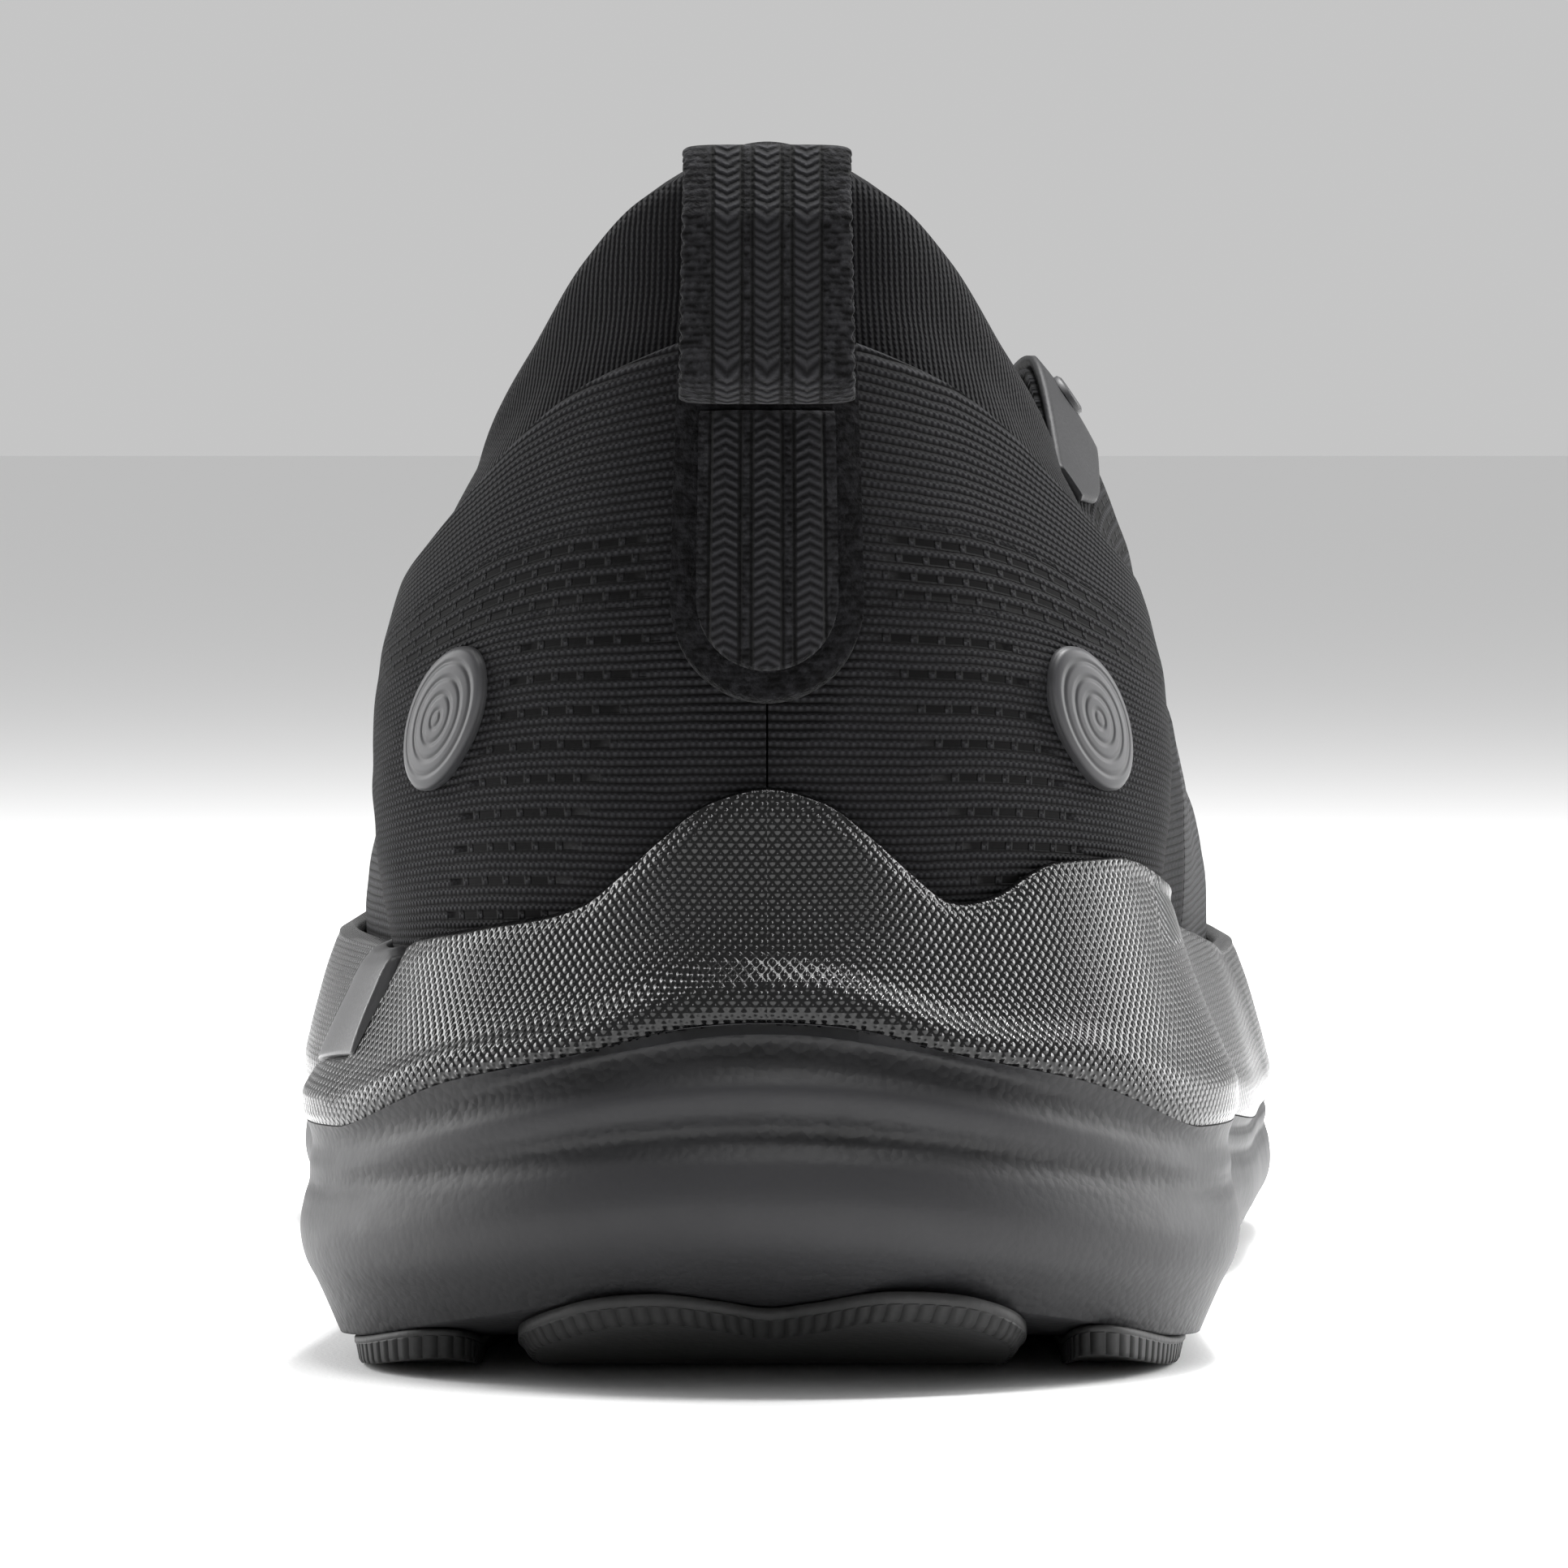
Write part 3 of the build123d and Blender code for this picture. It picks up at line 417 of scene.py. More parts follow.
def slabbed(outer: Array, inner: Array, uv: Array, lip: float = 0.35) -> tuple[Array, Array]:
    """Closed loop of rows over a thick panel, with softly rounded edges.

    The rows run up the outer face, round the top edge, down the inner face and round the
    bottom edge; each edge has one row more, pushed out by a share of the thickness.

    Args:
        outer: grid of the outer face.
        inner: grid of the inner face.
        uv: surface coordinates of the outer face.
        lip: how far the edges stand out, as a share of the thickness.

    Returns:
        Points and surface coordinates for mesh_object with loop set.
    """
    thick = np.linalg.norm(outer[:, -1] - inner[:, -1], axis=-1)[:, None]
    up = outer[:, -1] - outer[:, -2]
    up /= np.maximum(np.linalg.norm(up, axis=-1, keepdims=True), 1e-9)
    down = outer[:, 0] - outer[:, 1]
    down /= np.maximum(np.linalg.norm(down, axis=-1, keepdims=True), 1e-9)
    top = (outer[:, -1] + inner[:, -1]) / 2 + up * thick * lip
    base = (outer[:, 0] + inner[:, 0]) / 2 + down * thick * lip
    points = np.concatenate([outer, top[:, None], inner[:, ::-1], base[:, None], outer[:, :1]], axis=1)
    coords = np.concatenate([uv, uv[:, -1:], uv[:, ::-1], uv[:, :1], uv[:, :1]], axis=1)
    return points, coords


def close_ends(points: Array, uv: Array) -> tuple[Array, Array]:
    """Add a column at each end, shrunk onto the loop's own middle line, so that the panel is closed."""
    rows = (points.shape[1] - 3) // 2
    partner = np.concatenate([2 * rows - np.arange(2 * rows + 1), [2 * rows + 1, 2 * rows + 2]])
    partner[0], partner[-1] = 2 * rows, 2 * rows
    first, last = ((column + column[partner])[None] / 2 for column in (points[0], points[-1]))
    return np.concatenate([first, points, last]), np.concatenate([uv[:1], uv, uv[-1:]])


def panel(name: str, g: Array, low: Callable, high: Callable, out: float, inn: float, rows: int,
          lift: Optional[Callable] = None, lip: float = 0.35) -> bpy.types.Object:
    """Thick panel of the upper between two shares of the section.

    Args:
        name: piece name.
        g: signed stations of its columns.
        low: share of its lower edge at a station.
        high: share of its upper edge.
        out: depth of its outer face under the upper's outer face.
        inn: depth of its inner face.
        rows: rows up its outer face.
        lift: extra height of its outer face at points, or None.
        lip: how far the edges stand out.

    Returns:
        The piece.
    """
    gg, k = np.meshgrid(g, np.linspace(0.0, 1.0, rows), indexing="ij")
    lo = low(gg)
    t = lo + (high(gg) - lo) * k
    outer = LAST.layer(gg, t, out + 0 * t)
    if lift is not None:
        outer = LAST.layer(gg, t, out - lift(gg, outer))
    inner = LAST.layer(gg, t, inn + 0 * t)
    uv = np.stack([LAST.girth(gg), outer[..., 2]], -1)
    points, coords = close_ends(*slabbed(outer, inner, uv, lip))
    return weld(mesh_object(name, points, coords, loop=True))


def at_height(z: float) -> Callable:
    """Share function that keeps a height."""
    return lambda g: LAST.share_at(g, np.full_like(g, z))


def at_share(t: float) -> Callable:
    """Share function that keeps a share."""
    return lambda g: np.full_like(g, t)


# ---- shader fields ---------------------------------------------------------------------------
Tree = bpy.types.NodeTree
Socket = bpy.types.NodeSocket


def add(tree: Tree, kind: str, inputs: Optional[dict] = None, **settings: object) -> bpy.types.Node:
    """Add a node with its settings, values and links.

    Args:
        tree: the material's tree.
        kind: node type.
        inputs: input name or number to a value or to the socket that feeds it.
        settings: node properties.

    Returns:
        The node.
    """
    made = tree.nodes.new(kind)
    for key, value in settings.items():
        setattr(made, key, value)
    for key, value in (inputs or {}).items():
        value = value.out if isinstance(value, Wave) else value
        if isinstance(value, bpy.types.NodeSocket):
            tree.links.new(value, made.inputs[key])
        else:
            made.inputs[key].default_value = value
    return made


class Wave:
    """A number that varies over a surface, with arithmetic that adds math nodes."""

    def __init__(self, tree: Tree, out: bpy.types.NodeSocket) -> None:
        """Wrap a socket."""
        self.tree = tree
        self.out = out

    def math(self, operation: str, *others: object) -> "Wave":
        """Result of a math operation on this and the other numbers."""
        inputs = {0: self.out}
        inputs.update({i + 1: other for i, other in enumerate(others)})
        return Wave(self.tree, add(self.tree, "ShaderNodeMath", inputs, operation=operation).outputs[0])

    def __add__(self, other: object) -> "Wave":
        """Sum."""
        return self.math("ADD", other)

    def __sub__(self, other: object) -> "Wave":
        """Difference."""
        return self.math("SUBTRACT", other)

    def __mul__(self, other: object) -> "Wave":
        """Product."""
        return self.math("MULTIPLY", other)

    def __truediv__(self, other: object) -> "Wave":
        """Quotient."""
        return self.math("DIVIDE", other)

    def invert(self) -> "Wave":
        """One less this."""
        made = add(self.tree, "ShaderNodeMath", {0: 1.0, 1: self.out}, operation="SUBTRACT")
        return Wave(self.tree, made.outputs[0])

    def wave(self, length: float) -> "Wave":
        """Cosine ripple from 0 to 1, with its peaks a length apart."""
        return (self * (2 * math.pi / length)).math("COSINE") * 0.5 + 0.5

    def cell(self, length: float) -> "Wave":
        """Distance from the middle of the cell that this falls in, 0 to 0.5 cells."""
        return ((self / length).math("FRACT") - 0.5).math("ABSOLUTE")

    def index(self, length: float) -> "Wave":
        """Number of the cell that this falls in."""
        return (self / length).math("FLOOR")

    def step(self, lo: float, hi: float) -> "Wave":
        """Smooth step from 0 at lo to 1 at hi; falls where lo is above hi."""
        flip = lo > hi
        a, b = (hi, lo) if flip else (lo, hi)
        out = add(self.tree, "ShaderNodeMapRange", {"Value": self.out, "From Min": a, "From Max": b},
                  interpolation_type="SMOOTHSTEP").outputs[0]
        return Wave(self.tree, out).invert() if flip else Wave(self.tree, out)


@dataclass(frozen=True)
class Hue:
    """A colour given as sRGB hex."""

    code: str

    def linear(self) -> tuple[float, float, float, float]:
        """The colour as linear RGBA."""
        parts = [int(self.code[i:i + 2], 16) / 255 for i in (1, 3, 5)]
        return tuple([c / 12.92 if c <= 0.04045 else ((c + 0.055) / 1.055) ** 2.4 for c in parts] + [1.0])


@dataclass(frozen=True)
class Finish:
    """A material: two colours that a pattern mixes, a surface, and a relief in millimetres.

    Subclasses draw the pattern in pattern(): a mix from dark to light and a height in
    millimetres. Surface coordinates are in millimetres: u runs round the shoe, v up it.
    """

    name: str
    dark: Hue
    light: Hue
    roughness: float = 0.6
    rough_swing: float = 0.1
    specular: float = 0.5
    sheen: float = 0.0
    coat: float = 0.0

    def coordinates(self, tree: Tree) -> tuple[Wave, Wave, bpy.types.NodeSocket]:
        """Surface coordinates u and v in millimetres, and the point in space in metres."""
        uv = add(tree, "ShaderNodeUVMap", uv_map="surface").outputs[0]
        parts = add(tree, "ShaderNodeSeparateXYZ", {0: uv})
        space = add(tree, "ShaderNodeTexCoord").outputs["Object"]
        return Wave(tree, parts.outputs[0]), Wave(tree, parts.outputs[1]), space

    @staticmethod
    def noise(tree: Tree, space: Socket, size: float, detail: float = 3.0) -> Wave:
        """Cloudy noise from 0 to 1 whose lumps are about size millimetres."""
        made = add(tree, "ShaderNodeTexNoise",
                   {"Vector": space, "Scale": 1.0 / (size * MM), "Detail": detail})
        return Wave(tree, made.outputs["Fac"])

    @staticmethod
    def cells(tree: Tree, space: Socket, size: float) -> Wave:
        """Distance to the nearest of scattered points about size millimetres apart, in cells."""
        made = add(tree, "ShaderNodeTexVoronoi", {"Vector": space, "Scale": 1.0 / (size * MM)})
        return Wave(tree, made.outputs["Distance"])

    def pattern(self, tree: Tree, u: Wave, v: Wave, space: Socket) -> tuple[Wave, Wave]:
        """Plain grain: a mix and a height."""
        grain = self.noise(tree, space, 0.5)
        return grain, grain * 0.05

    def build(self) -> bpy.types.Material:
        """The Blender material, made once."""
        if self.name in bpy.data.materials:
            return bpy.data.materials[self.name]
        material = bpy.data.materials.new(self.name)
        material.use_nodes = True
        tree = material.node_tree
        tree.nodes.clear()
        u, v, space = self.coordinates(tree)
        mix, height = self.pattern(tree, u, v, space)
        colour = add(tree, "ShaderNodeMix", {0: mix, 6: self.dark.linear(), 7: self.light.linear()},
                     data_type="RGBA")
        rough = self.noise(tree, space, 4.0) * self.rough_swing + (self.roughness - self.rough_swing / 2)
        bump = add(tree, "ShaderNodeBump", {"Height": height, "Distance": MM, "Strength": 1.0})
        surface = add(tree, "ShaderNodeBsdfPrincipled", {
            "Base Color": colour.outputs[2], "Roughness": rough, "Normal": bump.outputs[0],
            "Specular IOR Level": self.specular, "Sheen Weight": self.sheen, "Coat Weight": self.coat})
        add(tree, "ShaderNodeOutputMaterial", {"Surface": surface.outputs[0]})
        return material


@dataclass(frozen=True)
class RibbedKnit(Finish):
    """Flat-bed knit of textured polyester: tight courses with rows of open stitches."""

    course: float = 0.92
    wale: float = 0.78
    open_rows: bool = True

    def pattern(self, tree: Tree, u: Wave, v: Wave, space: Socket) -> tuple[Wave, Wave]:
        """Courses as round ridges, stitches as ticks on them, and slits where stitches open, with painted
        shade in the hollows and slits.
        """
        wobble = self.noise(tree, space, 2.2, 2.0) * 0.25
        row = (v + wobble).wave(self.course)
        odd = (v.index(self.course * 2) - v.index(self.course) * 0.5) * self.wale
        tick = (u + odd + wobble).wave(self.wale)
        ridge = row.math("POWER", 0.6)
        fibre = self.noise(tree, space, 0.35, 4.0)
        height = ridge * 0.22 + ridge * tick * 0.16 + fibre * 0.05
        # Painted shade and painted glints: the colour follows the relief, darker between courses and stitch
        # ticks; the fibre noise varies the yarn's tone and lightens fine specks as painted glints.
        mix = ridge * (tick * 0.55 + 0.3) * (fibre * 0.9 + 0.55)
        if self.open_rows:
            slit = self.slits(u, v)
            height = height * slit.invert() - slit * 1.1
            # Painted shade: the open slits are painted near black.
            mix = mix * (slit * 0.95).invert()
        return mix, height

    def slits(self, u: Wave, v: Wave) -> Wave:
        """Open stitches: a dense band that falls away from the tab, and loose columns below it."""
        away = u.math("ABSOLUTE")
        pitch_u, pitch_v = 3.1, 2 * self.course
        brick = v.index(pitch_v) * (pitch_u / 2)
        dash = (u + brick).cell(pitch_u).step(0.42, 0.35) * v.cell(pitch_v).step(0.27, 0.17)
        band = (v - 87.0).math("ABSOLUTE").step(4.4, 3.2) * away.step(11.0, 14.0)
        sparse = (u + v.index(pitch_v * 2) * (pitch_u * 0.62)).cell(pitch_u).step(0.40, 0.33)
        sparse = sparse * v.cell(pitch_v * 2).step(0.14, 0.09)
        lane = away - (v - 84.0) * -0.42
        column = (lane - 17.5).math("ABSOLUTE").step(9.5, 6.5) * v.step(83.5, 81.0) * v.step(44.0, 47.0)
        return dash * band + sparse * column


@dataclass(frozen=True)
class CollarKnit(Finish):
    """Fine gauge rib knit with a brushed face: soft upright ribs."""

    rib: float = 0.85
    tick: float = 0.6

    def pattern(self, tree: Tree, u: Wave, v: Wave, space: Socket) -> tuple[Wave, Wave]:
        """Upright ribs, broken by small stitches and fuzz, with painted shade in the hollows between ribs and
        stitches.
        """
        wobble = self.noise(tree, space, 1.6, 2.0) * 0.3
        rib = (u + wobble).wave(self.rib)
        stitch = (v + wobble + rib * 0.2).wave(self.tick)
        fuzz = self.noise(tree, space, 0.28, 5.0)
        # Painted shade: the colour follows the ribs and stitches, darker in the hollows between them; the
        # fuzz varies the tone.
        return rib * (stitch * 0.4 + 0.4) * 0.7 + fuzz * 0.3, rib * 0.14 + stitch * rib * 0.1 + fuzz * 0.09


@dataclass(frozen=True)
class Webbing(Finish):
    """Knitted tape of spun polyester: three upright chevron channels in a brushed ground."""

    channel: float = 4.0
    chevron: float = 1.0
    channels: bool = True

    def pattern(self, tree: Tree, u: Wave, v: Wave, space: Socket) -> tuple[Wave, Wave]:
        """Chevrons inside each channel, fuzz between, with painted shade in the channel grooves and between
        the chevron ticks and ground ripples.
        """
        fuzz = self.noise(tree, space, 0.42, 5.0)
        heather = self.noise(tree, space, 0.9, 3.0)
        ground = (v + heather * 0.8).wave(0.75) * 0.25
        if not self.channels:
            # Painted shade: the colour follows the ground's ripples, darker between them; the heather varies
            # the yarn's tone.
            return ground * 0.5 + heather.step(0.35, 0.75) * 0.55, fuzz * 0.35 + ground * 0.3 + heather * 0.2
        off = (u + self.channel / 2).cell(self.channel)
        edge = u.math("ABSOLUTE").step(6.3, 5.9)
        inside = off.step(0.36, 0.30) * edge
        groove = (off - 0.36).math("ABSOLUTE").step(0.08, 0.02) * edge
        tick = (v + off * 2.2).wave(self.chevron)
        height = inside * (tick * 0.26 + 0.25) - groove * 0.3 + fuzz * 0.22 + ground * 0.2
        # Painted shade: the chevron ticks are painted lighter than the hollows between them; the heather
        # varies the yarn's tone.
        mix = inside * (tick * 0.65 + 0.15) + inside.invert() * (heather.step(0.35, 0.75) * 0.5 + ground)
        # Painted shade: the grooves round each channel are painted darker.
        return mix * (groove * 0.8).invert(), height


@dataclass(frozen=True)
class GrainedFoam(Finish):
    """Moulded EVA with a leather grain that is deep in the hollows and polished on the ridges; its colour is
    painted darker where the grain is deep, painted shade in the hollows.
    """

    grain: float = 0.95

    def pattern(self, tree: Tree, u: Wave, v: Wave, space: Socket) -> tuple[Wave, Wave]:
        """Pebbles from scattered cells; the surface coordinate v carries how deep the grain is, and the
        colour is painted darker where it is deep, painted shade in the recessed bands.
        """
        pebble = self.cells(tree, space, self.grain)
        patch = self.noise(tree, space, 9.0, 2.0).step(0.3, 0.7) * 0.35 + 0.65
        fine = self.noise(tree, space, 0.4, 3.0)
        depth = v * patch
        # Painted shade: the colour darkens with the grain's depth, which the levels set deepest in the
        # recessed bands.
        mix = depth.invert() * 0.75 + fine * 0.2
        return mix, pebble.invert() * depth * 0.12 + fine * 0.012


@dataclass(frozen=True)
class DimpledFoam(Finish):
    """Moulded EVA skin with a fine knurl: rows of small diamonds, sharp at the mould's face."""

    pitch: float = 0.8
    fin: float = 1.5

    def pattern(self, tree: Tree, u: Wave, v: Wave, space: Socket) -> tuple[Wave, Wave]:
        """Diamonds where two slanted ripples cross; slanted fins on the outer side's rise; painted shade
        darkens the dimples between the diamonds.
        """
        a = (u + v * 0.8).wave(self.pitch * 1.25)
        b = (u - v * 0.8).wave(self.pitch * 1.25)
        knurl = a * b
        fine = self.noise(tree, space, 0.5, 3.0)
        fins = u.step(47.0, 56.0) * u.step(104.0, 88.0) * v.step(43.5, 45.0) * v.step(53.5, 52.0)
        slanted = (u + v * 1.3).wave(self.fin)
        relief = knurl * 0.16 * fins.invert() + slanted * fins * 0.25
        worn = self.noise(tree, space, 14.0, 2.0).step(0.3, 0.75)
        # Painted shade: the colour follows the knurl, darker in the dimples; the large patches and fine noise
        # vary the tone at random.
        return knurl * 0.35 + worn * 0.3 + fine * 0.15, relief + fine * 0.02


@dataclass(frozen=True)
class FlutedRubber(Finish):
    """Blown rubber moulded with upright flutes on its walls and a fine cross grain below."""

    flute: float = 1.7

    def pattern(self, tree: Tree, u: Wave, v: Wave, space: Socket) -> tuple[Wave, Wave]:
        """Flutes along u where v is below the bevel, pebbles elsewhere, with painted shade in the grooves
        between the flutes.
        """
        flutes = u.wave(self.flute).math("POWER", 0.5)
        wall = v.step(0.55, 0.45)
        dust = self.noise(tree, space, 1.2, 4.0)
        pebble = self.cells(tree, space, 0.9)
        # Painted shade: on the wall the colour follows the flutes, darker in the grooves between them; the
        # dust varies the tone at random.
        mix = (flutes * wall + wall.invert()) * (dust * 0.6 + 0.3)
        return mix, flutes * wall * 0.35 + pebble * 0.04 + dust * 0.03


@dataclass(frozen=True)
class RingedFilm(Finish):
    """Welded TPU film with fine rings that follow its outline; v is the distance in from the edge."""

    ring: float = 1.15

    def pattern(self, tree: Tree, u: Wave, v: Wave, space: Socket) -> tuple[Wave, Wave]:
        """Rings at even distances from the edge, with painted shade in the ring grooves."""
        rings = v.wave(self.ring).math("POWER", 3.0)
        haze = self.noise(tree, space, 3.0, 3.0)
        # Painted shade: the ring grooves are painted darker; the haze varies the tone.
        return haze * 0.6 + rings.invert() * 0.35, rings * -0.16 + haze * 0.02


@dataclass(frozen=True)
class Mesh3D(Finish):
    """Warp-knit spacer lining: small round holes in offset rows."""

    hole: float = 1.5

    def pattern(self, tree: Tree, u: Wave, v: Wave, space: Socket) -> tuple[Wave, Wave]:
        """Holes on a slanted lattice with fuzz between; the holes are painted dark, painted shade inside
        them.
        """
        a = (u + v * 0.577).wave(self.hole)
        b = (u - v * 0.577).wave(self.hole)
        holes = (a * b).step(0.45, 0.8)
        fuzz = self.noise(tree, space, 0.4, 4.0)
        # Painted shade: the holes are painted dark; the fuzz varies the tone between them.
        return holes.invert() * (fuzz * 0.7 + 0.3), holes * -0.3 + fuzz * 0.08


class Look(Enum):
    """The finishes of the shoe's pieces."""

    # In the patterned finishes the dark colour also serves as painted shade: the patterns mix toward it in
    # their hollows, grooves, holes and slits.
    LOWER_FOAM = GrainedFoam("eva_leather_grain", Hue("#040405"), Hue("#202022"), 0.56, 0.10, 0.28)
    CUP_FOAM = DimpledFoam("eva_knurled_skin", Hue("#020202"), Hue("#0c0c0d"), 0.24, 0.05, 0.30)
    SIDE_BLOCK = Finish("tpu_smooth_satin", Hue("#2a2a2b"), Hue("#313132"), 0.44, 0.06, 0.4)
    RUBBER = FlutedRubber("blown_rubber_fluted", Hue("#050505"), Hue("#242424"), 0.62, 0.12, 0.3)
    KNIT = RibbedKnit("polyester_flat_knit", Hue("#010101"), Hue("#252527"), 0.8, 0.08, 0.07, 0.01)
    VAMP_KNIT = RibbedKnit("polyester_flat_knit_closed", Hue("#010101"), Hue("#38383a"), 0.8, 0.08, 0.12,
                           0.03, open_rows=False)
    COLLAR = CollarKnit("polyester_brushed_rib", Hue("#020202"), Hue("#18181a"), 0.9, 0.05, 0.05, 0.02)
    TAPE = Webbing("spun_polyester_tape", Hue("#020202"), Hue("#2a2a2c"), 0.9, 0.05, 0.05, 0.03)
    TAPE_PLAIN = Webbing("spun_polyester_tape_plain", Hue("#020202"), Hue("#202022"), 0.92, 0.05, 0.05, 0.03,
                         channels=False)
    FILM = Finish("tpu_film_matt", Hue("#0b0b0c"), Hue("#141416"), 0.58, 0.1, 0.2)
    PATCH = RingedFilm("tpu_welded_badge", Hue("#1e1e1f"), Hue("#303032"), 0.5, 0.06, 0.25)
    LINING = Mesh3D("polyester_spacer_mesh", Hue("#020202"), Hue("#1a1a1c"), 0.9, 0.05, 0.06, 0.02)
    SOCK = CollarKnit("sockliner_jersey", Hue("#0a0a0a"), Hue("#242426"), 0.92, 0.05, 0.1, 0.05,
                      rib=1.1, tick=1.1)
    BOARD = Finish("stitched_fleece_board", Hue("#8d8b86"), Hue("#a8a6a0"), 0.95, 0.03, 0.2)
    COUNTER = Finish("thermoformed_board", Hue("#6f6d68"), Hue("#7d7b76"), 0.7, 0.05, 0.3)


def dress(obj: bpy.types.Object, look: Look, body: str, nodes: Sequence[str]) -> bpy.types.Object:
    """Give a piece its finish, its body and the CAD nodes it stands for."""
    obj.data.materials.clear()
    obj.data.materials.append(look.value.build())
    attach(obj, body)
    if nodes:
        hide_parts(*nodes)
    LOG.info("%s: %d faces", obj.name, len(obj.data.polygons))
    return obj


# ---- sole ------------------------------------------------------------------------------------
@dataclass
class Sole:
    """Lower foam, knurled cup, smooth insert and outsole pods."""

    last: Last
    columns: int = 384
    wall_gap: float = 0.35
    bond: float = 0.15
    levels: tuple = (
        # height at heel, side, forefoot; offset at heel, side, forefoot; depth of grain, which the finish
        # also paints darker where deep, painted shade in the recessed bands
        (12.6, 8.0, 5.5, -4.6, -2.0, -1.2, 0.7),
        (16.0, 11.0, 7.2, -1.0, -0.5, -0.3, 0.35),
        (20.0, 14.0, 9.0, 0.2, 0.0, 0.0, 0.15),
        (24.0, 16.9, 11.2, -0.6, -0.4, -0.2, 0.25),
        (26.3, 18.6, 12.6, -2.3, -0.9, -0.6, 0.9),
        (27.8, 19.6, 13.4, -2.5, -1.0, -0.8, 1.0),
        (29.6, 20.8, 14.2, -1.4, -1.0, -0.6, 0.4),
        (31.8, 22.0, 14.9, -1.2, -1.2, -0.6, 0.2),
        (34.0, 23.0, 15.5, -2.6, -1.3, -0.8, 0.9),
        (36.6, 24.1, 16.1, -3.3, -1.1, -0.9, 1.0),
    )
    cup_rows: tuple = (
        # share of the height; offset at heel, side, forefoot
        (0.0, -1.6, -0.7, -0.4),
        (0.05, -1.2, -0.2, 0.0),
        (0.14, -1.5, -0.2, 0.0),
        (0.30, -4.0, -1.6, -0.6),
        (0.50, -5.2, -3.6, -1.6),
        (0.75, -5.9, -5.8, -3.0),
        (0.92, -6.3, -7.0, -4.2),
        (1.0, -6.9, -7.7, -4.8),
    )

    def around(self) -> Array:
        """Stations right round the shoe, evenly spaced."""
        return np.linspace(0.0, 8.0, self.columns + 1)

    def rise(self, y: Array) -> Array:
        """Lift of the sole toward the toe."""
        return self.last.toe_spring * (np.clip(y - 205.0, 0, None) / 95.0) ** 2

    def lower(self) -> bpy.types.Object:
        """Lower foam: its side runs smoothly through the levels, and its top and bottom close it."""
        last, g = self.last, self.around()
        reach0 = last.sole_reach(g)
        under_reach = reach0 + last.blend_levels(g, -7.0, -4.2, -2.6)
        y0 = last.place(g, under_reach, 0.0)[:, 1]
        z = [last.underside(y0)]
        r = [under_reach]
        depth = [np.full_like(g, 0.8)]
        for zh, zs, zf, oh, os_, of, grain in self.levels:
            out = reach0 + last.blend_levels(g, oh, os_, of)
            z.append(last.blend_levels(g, zh, zs, zf) + self.rise(last.place(g, out, 0.0)[:, 1]))
            r.append(out)
            depth.append(last.blend_levels(g, grain, 0.25 + 0.3 * grain, 0.4))
        top = reach0 + last.blend_levels(g, -1.6, -0.7, -0.4)
        z.append(last.crease(last.place(g, top + 0.2, 0.0)[:, 1]))
        r.append(top)
        depth.append(np.full_like(g, 0.8))
        k = np.linspace(0, len(z) - 1, 12 * (len(z) - 1) + 1)
        z, r, depth = (through(np.array(a), k) for a in (z, r, depth))
        side = last.place(g[None], r, z)
        floor = [last.place(g, under_reach * share, 0.0) for share in (0.0, 0.3, 0.6, 0.85, 0.97)]
        for ring in floor:
            ring[:, 2] = last.underside(ring[:, 1])
        lid = [last.place(g, top * share, 0.0) for share in (0.95, 0.6, 0.3, 0.0)]
        for ring in lid:
            ring[:, 2] = last.crease(ring[:, 1])
        points = np.concatenate([floor, side, lid]).transpose(1, 0, 2)
        flat = np.full((5, len(g)), 0.6)
        # Painted shade: the grain's depth rides in v, and the finish paints the foam darker where it is deep,
        # in the recessed bands, the undercut and the underside.
        grain = np.concatenate([flat, depth, flat[:4]]).T
        u = np.repeat(last.girth(g)[:, None], points.shape[1], axis=1)
        obj = weld(mesh_object("midsole_lower_foam", points, np.stack([u, grain], -1), around=True))
        return dress(obj, Look.LOWER_FOAM, "shoe", ["midsole_lower"])

    def wall(self, g: Array, low: Array, high: Array, puff: float) -> tuple[Array, Array]:
        """Closed loop of rows round the cup's wall between two heights at each station."""
        last = self.last
        k = np.linspace(0.0, 1.0, 44)
        table = np.array(self.cup_rows)
        base = last.crease(last.place(g, last.sole_reach(g) - 1.5, 0.0)[:, 1]) + self.bond
        rim = last.rim(g)
        z = low[:, None] + (high - low)[:, None] * k
        share = np.clip((z - base[:, None]) / (rim - base)[:, None], 0, 1)
        offsets = [curve(share, table[:, [0, c]]) for c in (1, 2, 3)]
        gg = np.repeat(g[:, None], len(k), axis=1)
        room = last.room(gg, z) + self.wall_gap
        out = last.sole_reach(gg) + last.blend_levels(gg, *offsets) + puff * np.sin(math.pi * k) ** 0.5
        out = room + np.maximum(out - room, 1.6 - 0.5 * k)
        uv = np.stack([last.girth(gg), z], -1)
        return slabbed(last.place(gg, out, z), last.place(gg, room, z), uv, 0.3)

    def cup(self) -> bpy.types.Object:
        """Knurled cup: a wall round the upper with a wave for its rim and a seat for the insert."""
        last, g = self.last, self.around()
        s, side = last.station(g)
        base = last.crease(last.place(g, last.sole_reach(g) - 1.5, 0.0)[:, 1]) + self.bond
        rim = last.rim(g)
        inside = smooth(s, last.block_start - 0.04, last.block_start + 0.03)
        inside = inside * (1 - smooth(s, last.block_end - 0.03, last.block_end + 0.04))
        seat = self.insert_low(s) - 0.4
        top = rim + (seat - rim) * np.where(side < 0, inside, 0.0)
        points, uv = self.wall(g, base, top, 0.0)
        obj = weld(mesh_object("midsole_cup_foam", points, uv, around=True, loop=True))
        return dress(obj, Look.CUP_FOAM, "shoe", ["midsole_cradle"])

